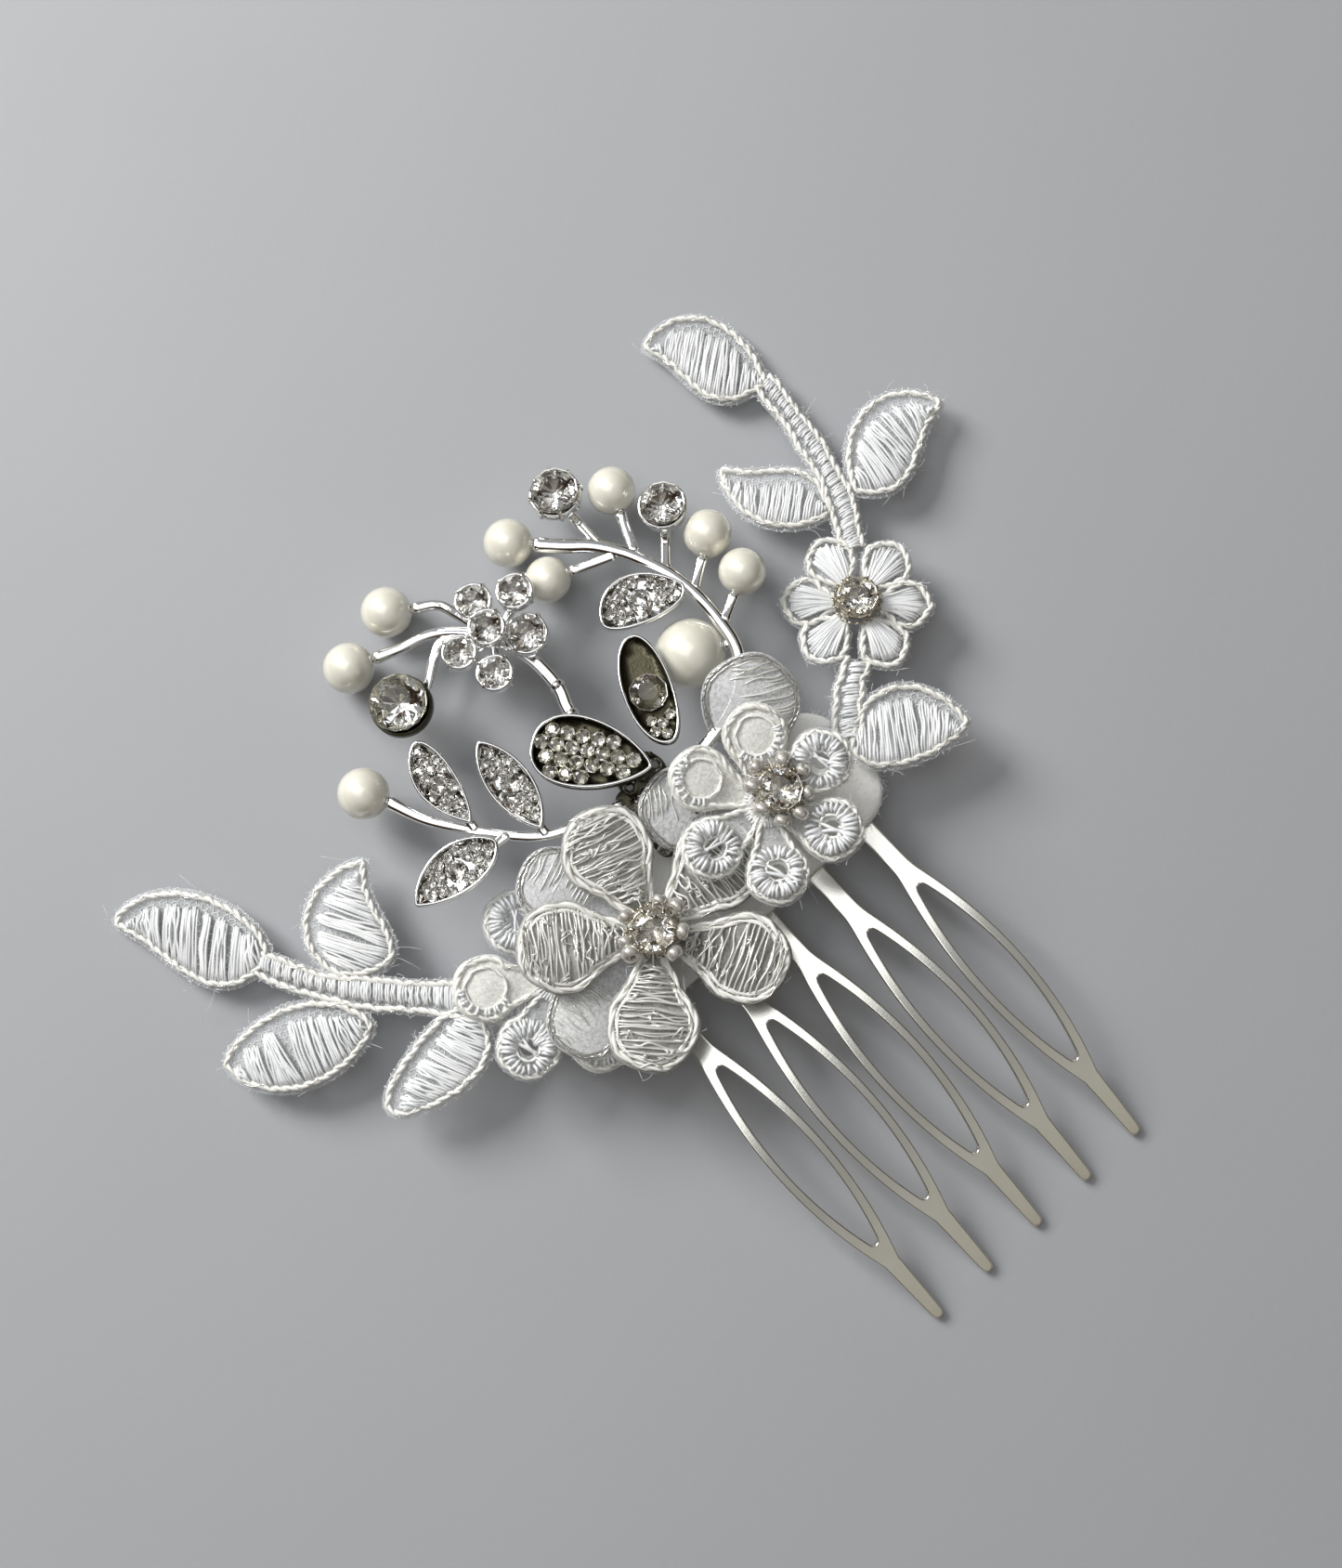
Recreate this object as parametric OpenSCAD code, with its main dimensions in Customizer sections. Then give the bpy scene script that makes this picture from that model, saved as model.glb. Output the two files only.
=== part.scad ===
// Decorative bridal hair comb: a stamped metal comb that carries corded lace flowers, two lace
// sprays, cast branches with pearls, and set stones. Units are millimetres.
// X runs along the comb's spine, the teeth point to -Y, and +Z is the decorated side.

/* [Comb] */
// Distance between neighbouring teeth
tooth_pitch = 7.7; // [7:0.1:8.5]
// Width of the comb's spine bar
spine_w = 4; // [3:0.5:4]
// Distance from the spine's centre line to the tips
tooth_reach = 50; // [48:1:54]
// Width of a tooth's neck
neck_w = 2.3; // [1.8:0.1:2.4]
// Width across the open eye of a tooth
eye_outer_w = 6.6; // [6:0.1:6.8]
// Width of the opening inside the eye
eye_inner_w = 4.5; // [4:0.1:4.6]
// Thickness of the comb's metal
comb_t = 0.8; // [0.6:0.1:0.8]
// Radius that the teeth are bowed to
bow_r = 70; // [65:1:80]

/* [Pads] */
// Thickness of the felt back cover
cover_t = 1.5; // [1:0.1:1.5]
// Thickness of the upper felt pad
pad_t = 1; // [0.8:0.1:1.2]

/* [Branches] */
// Angle that the cast branches droop away from the comb
branch_droop = 9.6; // [8:0.2:10]
// Diameter of the branches' main stems
stem_d = 1.5; // [1.2:0.1:1.6]
// Diameter of the twigs that carry pearls and cups
twig_d = 1.2; // [1:0.1:1.3]
// Diameter of the pins that the pearls are glued on
peg_d = 0.9; // [0.7:0.1:1]

/* [Lace] */
// Thickness of the corded lace
lace_t = 0.8; // [0.6:0.1:0.8]
// Thickness of the sheer back flowers
sheer_t = 0.5; // [0.4:0.1:0.6]

/* [Hidden] */
$fn = 48;

silver = "#d9dadb";
pearl_white = "#e6e4d2";
crystal = "#c9ced2";
lace_white = "#eef0ee";

// Comb, bowed about an axis parallel to X
tooth_count = 5;
bow_y = -22.2;
crown_z = 6.14;
eye_y = -25.25;
eye_half_l = 13.25;
eye_end_r = 0.53;
eye_taper = 1.35;
shoulder = 5.75;
shaft_w = 2;
shaft_start = 8.5;
tip_w = 1.4;
spine_half_l = tooth_pitch * (tooth_count - 1) / 2 + eye_outer_w / 2;

// Pads
pad_x0 = -27;
pad_x1 = 21;
pad_y0 = -3;
pad_y1 = 12.5;
bed_top = 3.7;
pad_top = bed_top + pad_t;
fit_gap = 0.1;

// Planes of the cast branches and of the two lace sprays
branch_root = [0, 18, 9.2];
right_root = [20, 8, 6.2];
right_heading = 63;
right_droop = 5.2;
left_root = [-30, 13, 6];
left_heading = 128.5;
left_droop = 6.5;

// Pearls: centre on the branch plane, then diameter
arc_pearls = [
  [[6.9, 31.9, 0], 5.8], [[7.5, 25.6, -1], 5.4], [[20, 28.3, 0], 5.7],
  [[24.6, 16.5, 0], 5.7], [[24.4, 10.3, 0], 5.5]
];
big_pearl = [[13.7, 7.5, -1.6], 8.3];
star_pearls = [[[-9.1, 35.4, 0], 6], [[-16.7, 33.2, 0], 6]];
end_pearl = [[-24.9, 20.4, 0], 6];
twig_gap = 0.7;
bore_depth = 2;
bore_d = peg_d + fit_gap;

// Cup settings: centre on the branch plane, then outer diameter
twig_cups = [[[14.7, 32, 0], 6.1], [[22.8, 22.1, 0], 5.8]];
big_cup = [[-15, 24.7, 0.2], 7.2];
floret_centre = [[-1.9, 23.9, 3.1], 4.4];
floret_ring = [
  [[3.4, 25.8, 1], 4.4], [[1.1, 20.9, 1], 5], [[-4.6, 19.9, 1], 4.4],
  [[-6, 24.6, 1], 4.2], [[-0.9, 28.2, 1], 4.4]
];
cup_h = 2;
cup_wall = 0.35;

// Main stems, as points on the branch plane
arc_path = [
  [8.8, 29, 0], [11.4, 27.1, 0], [13.7, 24.9, 0], [15.4, 22.5, 0], [16.7, 20, 0],
  [18.2, 15.7, 0], [18.7, 11.9, 0], [18.6, 8.3, 0], [17.6, 3.6, -0.2], [14, -0.2, -0.6],
  [8, -2, -0.7], [2.5, -2, -0.6]
];
star_path = [[-1.6, 3, 0], [-1.2, 11, 0], [-0.2, 14.6, 0.2], [-0.4, 19.9, 0.4], [-1.9, 23.9, 0.6]];
star_twig_1 = [[-1.9, 24.2, 0.4], [-3.2, 29.5, 0.2], [-4.1, 31.9, 0]];
star_twig_2 = [[-2, 24.4, 0.4], [-4, 27.1, 0.2], [-6, 29, 0], [-8, 30.1, 0], [-10.6, 30.8, 0]];
star_twig_3 = [[-2.4, 24.4, 0.4], [-6.4, 27.9, 0], [-8.8, 27, 0]];
leaf_path = [
  [-23.2, 17.2, 0], [-21.4, 12.9, 0], [-18, 8.1, 0], [-15.3, 4.8, 0], [-12.4, 2.2, 0],
  [-8.2, 0.4, -0.2], [-3.6, -0.9, -0.4]
];

// Leaf settings: base and tip on the branch plane, height, bulge to the left and to the right
arc_leaf = [[18, 12.6], [8.2, 16.6], 0.9, 2.9, 2.8];
marquise = [[4.9, 0.2], [9.5, 12.5], 1.5, 2.9, 3];
upper_leaf = [[-17.9, 8.8], [-16.8, 20.2], 0.8, 2.6, 2.1];
middle_leaf = [[-12.4, 3], [-11.2, 15.2], 0.8, 2.4, 2.3];
lower_leaf = [[-17.4, 5.2], [-28.5, 5.8], 0.8, 2.4, 2.6];
drop_round = [-4.2, 7.3];
drop_point = [1.2, -0.2];
drop_r = 4.2;
tray_h = 1.3;
tray_wall = 0.45;
tray_floor = 0.4;

// Flower stacks: centre of each flower, and its tilt about Y
right_front_at = [8, 6.2, 10.8];
right_back_at = [9.3, 6.5, 7.1];
right_back_tilt = -4;
left_front_at = [-10.7, 4, 10.2];
left_back_at = [-10.7, 4, 8.7];
left_tilt = 5;
left_round_at = [-22.3, 7.3, 7.5];
left_round_tilt = 6;
right_jewel_at = [10.1, 6.4];
left_jewel_at = [-10.7, 4.2];
spray_flower_at = [13.5, -6.9];

// Helpers

function unit(v) = v / norm(v);
function seat(from, pearl) =
  pearl[0] + unit(from - pearl[0]) * (pearl[1] / 2 + twig_gap);
function last(path) = path[len(path) - 1];

// A child on the plane of the cast branches
module on_branch() {
  translate(branch_root)
    rotate([-branch_droop, 0, 0])
      children();
}

module on_right_spray() {
  translate(right_root)
    rotate([0, 0, right_heading])
      rotate([0, right_droop, 0])
        children();
}

module on_left_spray() {
  translate(left_root)
    rotate([0, 0, left_heading])
      rotate([0, left_droop, 0])
        children();
}

// Ball at a rod's joint, turned so that the facets of crossing rods never lie in one plane
module joint_ball(point, d) {
  translate(point)
    rotate([20, 10, 0])
      sphere(d = d, $fn = 12);
}

// A round rod through points, one rounded segment after another
module rod(path, d) {
  for (i = [1 : len(path) - 1])
    hull() {
      joint_ball(path[i - 1], d);
      joint_ball(path[i], d);
    }
}

// A child turned so that its Z axis points along v
module aim(v) {
  rotate([0, acos(v[2] / norm(v)), atan2(v[1], v[0])])
    children();
}

// Lens between (0, 0) and (length, 0), made of two arcs with their own bulges
module lens(length, left, right) {
  half = length / 2;
  r_left = (half * half + left * left) / (2 * left);
  r_right = (half * half + right * right) / (2 * right);
  intersection() {
    translate([half, left - r_left]) circle(r = r_left);
    translate([half, r_right - right]) circle(r = r_right);
  }
}

// A child laid from base towards tip
module along(base, tip) {
  translate([base[0], base[1], 0])
    rotate([0, 0, atan2(tip[1] - base[1], tip[0] - base[0])])
      children();
}

// Flat stem of a lace spray: straight bars with round joints
module ribbon(path, w) {
  for (i = [1 : len(path) - 1])
    along(path[i - 1], path[i])
      translate([0, -w / 2])
        square([norm(path[i] - path[i - 1]), w]);
  for (point = path)
    translate(point)
      circle(d = w + 0.1);
}

module lace_leaf(base, tip, left, right) {
  along(base, tip)
    lens(norm(tip - base), left, right);
}

// Petal outline: a round end at a distance from the flower's centre, on a narrow neck
module petal(reach, d, neck) {
  translate([reach, 0]) circle(d = d);
  polygon([[0, -neck / 2], [reach, -d * 0.4], [reach, d * 0.4], [0, neck / 2]]);
}

// Flower: petals [angle, lift] round a hub that reaches down by hub_h
module flower(petals, reach, d, t, hub_d, hub_h) {
  for (p = petals)
    rotate([0, 0, p[0]])
      rotate([0, -p[1], 0])
        translate([0, 0, -t / 2])
          linear_extrude(t)
            petal(reach, d, hub_d * 0.4);
  translate([0, 0, -hub_h])
    cylinder(d = hub_d, h = hub_h + t * 0.8);
}

// Brilliant-cut stone with its table at the top, girdle at height 0
module brilliant(d) {
  rotate_extrude()
    polygon([
      [0, -0.36 * d], [0.5 * d, -0.02 * d], [0.5 * d, 0.02 * d], [0.3 * d, 0.16 * d],
      [0, 0.16 * d]
    ]);
}

// Open cup that holds a stone, its foot at height 0
module cup(d) {
  inner = d - 2 * cup_wall;
  rotate_extrude()
    polygon([
      [0, 0], [0.3 * d, 0], [0.5 * d, 0.3 * cup_h], [0.5 * d, cup_h], [0.5 * inner, cup_h],
      [0.5 * inner, 0.3 * cup_h + 0.3], [0.25 * d, 0.4], [0, 0.4]
    ]);
}

// Stone seated just below the rim of a cup(d)
module cup_stone(d) {
  stone_d = d - 2 * cup_wall - fit_gap;
  translate([0, 0, max(cup_h - 0.15, 0.42 + 0.36 * stone_d)])
    brilliant(stone_d);
}

module pearl_ball(pearl, from) {
  away = unit(from - pearl[0]);
  r = pearl[1] / 2;
  color(pearl_white)
    on_branch()
      translate(pearl[0])
        difference() {
          sphere(d = pearl[1]);
          aim(away)
            translate([0, 0, r - bore_depth])
              cylinder(d = bore_d, h = bore_depth + 1);
        }
}

module peg(pearl, from) {
  r = pearl[1] / 2;
  translate(pearl[0])
    aim(from - pearl[0])
      translate([0, 0, r - bore_depth + 0.2])
        cylinder(d = peg_d, h = bore_depth - 0.1);
}

// Where each pearl's twig comes from
arc_twig_starts = [[11.4, 27.1, 0], [15.1, 21.9, 0], [16.9, 20.6, 0], [18.9, 12.4, 0], [18.8, 7.2, 0]];
cup_twig_starts = [[14.4, 24.2, 0], [18.1, 16.5, 0]];
big_twig_start = [18, 4.6, -0.1];

module comb_outline() {
  translate([-spine_half_l + spine_w / 2, -spine_w / 2])
    square([2 * spine_half_l - spine_w, spine_w]);
  for (side = [-1, 1])
    translate([side * (spine_half_l - spine_w / 2), 0])
      circle(d = spine_w + 0.02);
  for (i = [0 : tooth_count - 1])
    translate([(i - (tooth_count - 1) / 2) * tooth_pitch, 0])
      tooth_outline();
}

module tooth_outline() {
  outer_half = eye_half_l + shoulder;
  difference() {
    union() {
      translate([-neck_w / 2, eye_y + eye_half_l - 1])
        square([neck_w, -eye_y - eye_half_l + 1]);
      translate([0, eye_y - outer_half])
        rotate([0, 0, 90])
          lens(2 * outer_half, eye_outer_w / 2, eye_outer_w / 2);
      polygon([
        [-tip_w / 2, -tooth_reach + tip_w / 2], [tip_w / 2, -tooth_reach + tip_w / 2],
        [shaft_w / 2, -tooth_reach + shaft_start], [-shaft_w / 2, -tooth_reach + shaft_start]
      ]);
      translate([0, -tooth_reach + tip_w / 2])
        circle(d = tip_w + 0.02);
    }
    translate([0, eye_y])
      eye_opening();
  }
}

// Opening of a tooth's eye: a lens whose pointed ends are cut off and rounded
module eye_opening() {
  lens_half = eye_half_l + eye_taper;
  straight = eye_half_l - eye_end_r;
  intersection() {
    translate([0, -lens_half])
      rotate([0, 0, 90])
        lens(2 * lens_half, eye_inner_w / 2, eye_inner_w / 2);
    translate([-eye_inner_w, -straight])
      square([2 * eye_inner_w, 2 * straight]);
  }
  for (side = [-1, 1])
    translate([0, side * straight])
      circle(r = eye_end_r + 0.01);
}

// Cylindrical skin that the comb is bowed to, thickened by extra on both faces
module bow_skin(extra) {
  translate([0, bow_y, crown_z - bow_r])
    rotate([0, 90, 0])
      difference() {
        cylinder(r = bow_r + comb_t / 2 + extra, h = 60, center = true, $fn = 200);
        cylinder(r = bow_r - comb_t / 2 - extra, h = 62, center = true, $fn = 200);
      }
}

module comb() {
  color("#b9b7ab")
    intersection() {
      translate([0, 0, -1])
        linear_extrude(10)
          comb_outline();
      bow_skin(0);
    }
}

// Pads between the comb and the ornaments

module pad_outline(x0, x1, y0, y1) {
  r = 5;
  translate([x0, y0 + r])
    square([x1 - x0, y1 - y0 - 2 * r]);
  translate([x0 + r, y0])
    square([x1 - x0 - 2 * r, y1 - y0]);
  for (x = [x0 + r, x1 - r])
    for (y = [y0 + r, y1 - r])
      translate([x, y])
        circle(r = r + 0.01);
}

module back_cover() {
  color("#e9e9e4")
    linear_extrude(cover_t)
      pad_outline(pad_x0 + 2, pad_x1 - 1, pad_y0, pad_y1 - 0.5);
}

module glue_bed() {
  color("#e4e9ea")
    difference() {
      translate([pad_x0 + 4, -spine_w / 2, cover_t])
        cube([pad_x1 - pad_x0 - 5.5, pad_y1 + spine_w / 2 - 3, bed_top - cover_t]);
      intersection() {
        translate([-spine_half_l - fit_gap, -spine_w / 2 - 1, 0])
          cube([2 * spine_half_l + 2 * fit_gap, spine_w + 1 + fit_gap, 8]);
        bow_skin(0.06);
      }
    }
}

module base_pad() {
  color("#f0f0ec")
    translate([0, 0, bed_top])
      linear_extrude(pad_t)
        pad_outline(pad_x0, pad_x1, pad_y0, pad_y1);
}

// Drops of glue: under each lace spray's end
module glue_dots() {
  color("#e4e9ea") {
    translate([18.8, 6.8, pad_top])
      cylinder(d = 3.4, h = right_root[2] - lace_t / 2 - pad_top - 0.05);
    translate([-23.5, 8.4, pad_top])
      cylinder(d = 3.4, h = left_root[2] - lace_t / 2 - pad_top - 0.15);
  }
}

// Cast branches

module pearl_branch() {
  color(silver)
    on_branch() {
      rod(concat([seat(arc_twig_starts[0], arc_pearls[0])], [for (i = [1 : len(arc_path) - 1]) arc_path[i]]),
        stem_d);
      for (i = [1 : len(arc_pearls) - 1])
        rod([arc_twig_starts[i], seat(arc_twig_starts[i], arc_pearls[i])], twig_d);
      for (i = [0 : 1])
        rod([cup_twig_starts[i], twig_cups[i][0] + [0, 0, -0.7]], twig_d);
      rod([big_twig_start, seat(big_twig_start, big_pearl)], twig_d);
    }
}

module star_branch() {
  color(silver)
    on_branch() {
      rod(star_path, stem_d);
      rod(concat(star_twig_1, [seat(last(star_twig_1), star_pearls[0])]), twig_d);
      rod(concat(star_twig_2, [seat(last(star_twig_2), star_pearls[1])]), twig_d);
      rod(concat(star_twig_3, [big_cup[0] + [3.2, 0.4, -0.9], big_cup[0] + [0, 0, -0.7]]), twig_d);
      for (setting = floret_ring)
        rod([[-1.9, 23.9, 0.4], setting[0] + [0, 0, -0.7]], twig_d);
      rod([[-1.9, 23.9, 0.4], floret_centre[0] + [0, 0, -0.7]], stem_d);
    }
}

module leaf_branch() {
  color(silver)
    on_branch() {
      rod(concat([seat(leaf_path[0], end_pearl)], leaf_path), twig_d);
      rod([[-18, 8.1, 0], [-17.9, 9.4, 0.1]], twig_d);
      rod([[-12.4, 2.2, 0], [-12.3, 3.8, 0.1]], twig_d);
      rod([[-15.6, 5.2, 0], [-17.8, 5.2, 0.1]], twig_d);
    }
}

// Knot where the branches meet, with a flat tongue that lies between the lace layers
module knot_setting() {
  color(silver)
    difference() {
      union() {
        translate([0, 18, 7.8])
          cylinder(d = 6, h = 1);
        translate([-1.6, 9, 8.45])
          cube([3.2, 10, 0.35]);
      }
      on_branch()
        translate([0, -1.5, -0.6])
          rotate([0, 90, 0])
            cylinder(d = stem_d + 0.3, h = 9, center = true);
    }
}

module pearl_pegs() {
  color(silver)
    on_branch() {
      for (i = [0 : len(arc_pearls) - 1])
        peg(arc_pearls[i], arc_twig_starts[i]);
      peg(big_pearl, big_twig_start);
      peg(star_pearls[0], last(star_twig_1));
      peg(star_pearls[1], last(star_twig_2));
      peg(end_pearl, leaf_path[0]);
    }
}

// Leaf settings, each a shallow tray

module leaf_tray(leaf) {
  length = norm(leaf[1] - leaf[0]);
  shrink = tray_wall * 1.6;
  color(silver)
    on_branch()
      translate([0, 0, leaf[2]])
        along(leaf[0], leaf[1])
          difference() {
            linear_extrude(tray_h)
              lens(length, leaf[3], leaf[4]);
            translate([shrink, 0, tray_floor])
              linear_extrude(tray_h)
                lens(length - 2 * shrink, leaf[3] - tray_wall, leaf[4] - tray_wall);
          }
}

// Stones in a leaf: a large one in the middle, and smaller ones towards both ends
module leaf_stones(leaf, middle_d) {
  length = norm(leaf[1] - leaf[0]);
  centre_y = (leaf[3] - leaf[4]) / 2;
  small_d = 1.2;
  color(crystal)
    on_branch()
      translate([0, 0, leaf[2] + tray_floor + 0.05])
        along(leaf[0], leaf[1]) {
          translate([length / 2, centre_y, 0.36 * middle_d])
            brilliant(middle_d);
          for (side = [-1, 1])
            for (step = [0 : 1])
              translate([length / 2 + side * (middle_d / 2 + 0.9 + step * 1.3), centre_y, 0.36 * small_d])
                brilliant(small_d - 0.2 * step);
        }
}

module drop_outline(r) {
  span = drop_point - drop_round;
  reach = norm(span) - (drop_r - r) * 2;
  along(drop_round, drop_point) {
    circle(r = r);
    polygon([[0.15 * r, -0.97 * r], [reach, 0], [0.15 * r, 0.97 * r]]);
  }
}

module teardrop_setting() {
  color(silver)
    on_branch()
      translate([0, 0, 1])
        difference() {
          linear_extrude(tray_h + 0.3)
            drop_outline(drop_r);
          translate([0, 0, tray_floor])
            linear_extrude(tray_h + 1)
              drop_outline(drop_r - tray_wall);
        }
}

module teardrop_stones() {
  d = 1.7;
  ring_r = 2.2;
  color(crystal)
    on_branch()
      translate([drop_round[0], drop_round[1], 1 + tray_floor + 0.05 + 0.36 * d]) {
        brilliant(d);
        for (k = [0 : 5])
          rotate([0, 0, 60 * k])
            translate([ring_r, 0, 0])
              brilliant(d);
      }
}

module knot_stones() {
  d = 1.3;
  color(crystal)
    for (k = [0 : 5])
      translate([0, 18, 8.85 + 0.36 * d])
        rotate([0, 0, 60 * k])
          translate([1.9, 0, 0])
            brilliant(d);
}

// Cups and stones on twigs

module cup_on_branch(setting) {
  color(silver)
    on_branch()
      translate(setting[0])
        cup(setting[1]);
}

module stone_on_branch(setting) {
  color(crystal)
    on_branch()
      translate(setting[0])
        cup_stone(setting[1]);
}

module floret_cups() {
  cup_on_branch(floret_centre);
  for (setting = floret_ring)
    cup_on_branch(setting);
}

module floret_stones() {
  stone_on_branch(floret_centre);
  for (setting = floret_ring)
    stone_on_branch(setting);
}

// Lace sprays, each cut out in one piece

module upper_lace_spray() {
  color(lace_white)
    on_right_spray()
      translate([0, 0, -lace_t / 2])
        linear_extrude(lace_t) {
          lace_leaf([42.6, -3.6], [50.6, 8.7], 3.4, 5.3);
          lace_leaf([26.8, -9.6], [34.5, -23.2], 5.4, 3.1);
          lace_leaf([24.8, -7.4], [33.5, 3.7], 3.7, 3.1);
          lace_leaf([-2.6, -1.2], [-3.6, -15.1], 4.9, 2.7);
          ribbon([[43.5, -3.2], [36.4, -6.1], [31.4, -7.6], [26.3, -8.5], [17, -8]], 3);
          ribbon([[12, -6.4], [4.2, -2.6], [-1.6, -1.2]], 3);
          translate(spray_flower_at) {
            circle(d = 5);
            for (angle = [-52, 15, 74, 125, 197, 253])
              rotate([0, 0, angle])
                petal(6.3, 5.2, 2);
          }
        }
}

module left_lace_spray() {
  color(lace_white)
    on_left_spray()
      translate([0, 0, -lace_t / 2])
        linear_extrude(lace_t) {
          lace_leaf([25, 0.2], [43.2, -0.1], 4.4, 5);
          lace_leaf([15.5, 1.4], [15.7, -12], 4.9, 4.2);
          lace_leaf([10.2, 3.6], [26.9, 12.8], 5.2, 4.1);
          lace_leaf([-0.2, 1.6], [6.6, 15], 4.5, 2.3);
          ribbon([[26, 1.6], [18.4, 2.7], [11.4, 2.4], [2, 1.7], [-7.5, 1.4]], 3.6);
        }
}

// Flowers of the two stacks, from the back to the front

module right_back_flower() {
  color("#dfe6ea")
    translate(right_back_at)
      rotate([0, right_back_tilt, 0]) {
        flower([[60, 13]], 11.2, 11.2, sheer_t, 5, right_back_at[2] - pad_top - 0.25);
        flower([[150, 1]], 10.6, 9, sheer_t, 5, 1);
      }
}

module right_front_flower() {
  color(lace_white)
    translate(right_front_at)
      flower(
        [for (k = [0 : 5]) [60 * k - 3, 10]],
        7.9, 6.8, lace_t, 5, right_front_at[2] - right_back_at[2] - 0.55
      );
}

module left_back_flower() {
  color("#dfe6ea")
    translate(left_back_at)
      rotate([0, left_tilt, 0])
        flower(
          [[113, 1], [190, 1]],
          12.1, 9, sheer_t, 5, left_back_at[2] - pad_top - 0.35
        );
}

module left_front_flower() {
  color(lace_white)
    translate(left_front_at)
      rotate([0, left_tilt, 0])
        flower(
          [[5, 4], [79, 6], [148, 5], [227, 6], [302, 6]],
          10.4, 9.8, lace_t, 6, left_front_at[2] - left_back_at[2] - 0.45
        );
}

module left_round_flower() {
  color(lace_white)
    translate(left_round_at)
      rotate([0, left_round_tilt, 0])
        flower(
          [for (k = [0 : 5]) [60 * k + 25, 1]],
          8.1, 7, lace_t, 5, left_round_at[2] - pad_top - 0.4
        );
}

// Jewels in the flower centres

module jewel_cup(d) {
  color(silver) cup(d);
}

module jewel_stone(d) {
  color(crystal) cup_stone(d);
}

module at_right_jewel() {
  translate([right_jewel_at[0], right_jewel_at[1], right_front_at[2] + lace_t * 0.8 + 0.02])
    children();
}

module at_left_jewel() {
  translate([left_jewel_at[0], left_jewel_at[1], left_front_at[2] + lace_t * 0.8 + 0.32])
    children();
}

module at_spray_jewel() {
  on_right_spray()
    translate([spray_flower_at[0], spray_flower_at[1], lace_t / 2 + 0.02])
      children();
}

// Ring of seed beads round a jewel cup
module seed_beads(count, ring_r, d) {
  color(crystal)
    for (k = [0 : count - 1])
      rotate([0, 0, 360 / count * k])
        translate([ring_r, 0, d / 2 + 0.9])
          sphere(d = d);
}

comb();
back_cover();
glue_bed();
base_pad();
glue_dots();
pearl_branch();
star_branch();
leaf_branch();
knot_setting();
pearl_pegs();
leaf_tray(arc_leaf);  // arc_leaf_setting
leaf_tray(marquise);  // marquise_setting
teardrop_setting();
leaf_tray(upper_leaf);  // upper_leaf_setting
leaf_tray(middle_leaf);  // middle_leaf_setting
leaf_tray(lower_leaf);  // lower_leaf_setting
leaf_stones(arc_leaf, 2.6);  // arc_leaf_stones
leaf_stones(marquise, 3);  // marquise_stones
teardrop_stones();
leaf_stones(upper_leaf, 2.2);  // upper_leaf_stones
leaf_stones(middle_leaf, 2.3);  // middle_leaf_stones
leaf_stones(lower_leaf, 2.3);  // lower_leaf_stones
knot_stones();
pearl_ball(arc_pearls[0], arc_twig_starts[0]);  // arc_pearl_1
pearl_ball(arc_pearls[1], arc_twig_starts[1]);  // arc_pearl_2
pearl_ball(arc_pearls[2], arc_twig_starts[2]);  // arc_pearl_3
pearl_ball(arc_pearls[3], arc_twig_starts[3]);  // arc_pearl_4
pearl_ball(arc_pearls[4], arc_twig_starts[4]);  // arc_pearl_5
pearl_ball(big_pearl, big_twig_start);  // large_pearl
pearl_ball(star_pearls[0], last(star_twig_1));  // star_pearl_1
pearl_ball(star_pearls[1], last(star_twig_2));  // star_pearl_2
pearl_ball(end_pearl, leaf_path[0]);  // leaf_pearl
cup_on_branch(twig_cups[0]);  // twig_cup_1
cup_on_branch(twig_cups[1]);  // twig_cup_2
cup_on_branch(big_cup);  // star_cup
stone_on_branch(twig_cups[0]);  // twig_stone_1
stone_on_branch(twig_cups[1]);  // twig_stone_2
stone_on_branch(big_cup);  // star_stone
floret_cups();
floret_stones();
upper_lace_spray();
left_lace_spray();
right_front_flower();
right_back_flower();
left_front_flower();
left_back_flower();
left_round_flower();
at_right_jewel() jewel_cup(4.6);  // right_jewel_cup
at_right_jewel() jewel_stone(4.6);  // right_jewel_stone
at_left_jewel() jewel_cup(4.6);  // left_jewel_cup
at_left_jewel() jewel_stone(4.6);  // left_jewel_stone
at_spray_jewel() jewel_cup(4.8);  // spray_jewel_cup
at_spray_jewel() jewel_stone(4.8);  // spray_jewel_stone
at_right_jewel() seed_beads(6, 3.3, 1.7);  // right_seed_beads
at_left_jewel() seed_beads(5, 3.3, 1.7);  // left_seed_beads
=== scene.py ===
"""Dresses a decorative hair comb: metal comb, corded lace, cast branches, pearls and stones.

Lengths in this file are millimetres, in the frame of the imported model, until a mesh is stored.
"""
import logging
import math
from dataclasses import dataclass, field
from enum import Enum
from functools import cache
from typing import Sequence

import bpy
import numpy as np
from mathutils import Matrix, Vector
from mathutils.geometry import delaunay_2d_cdt


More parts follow.
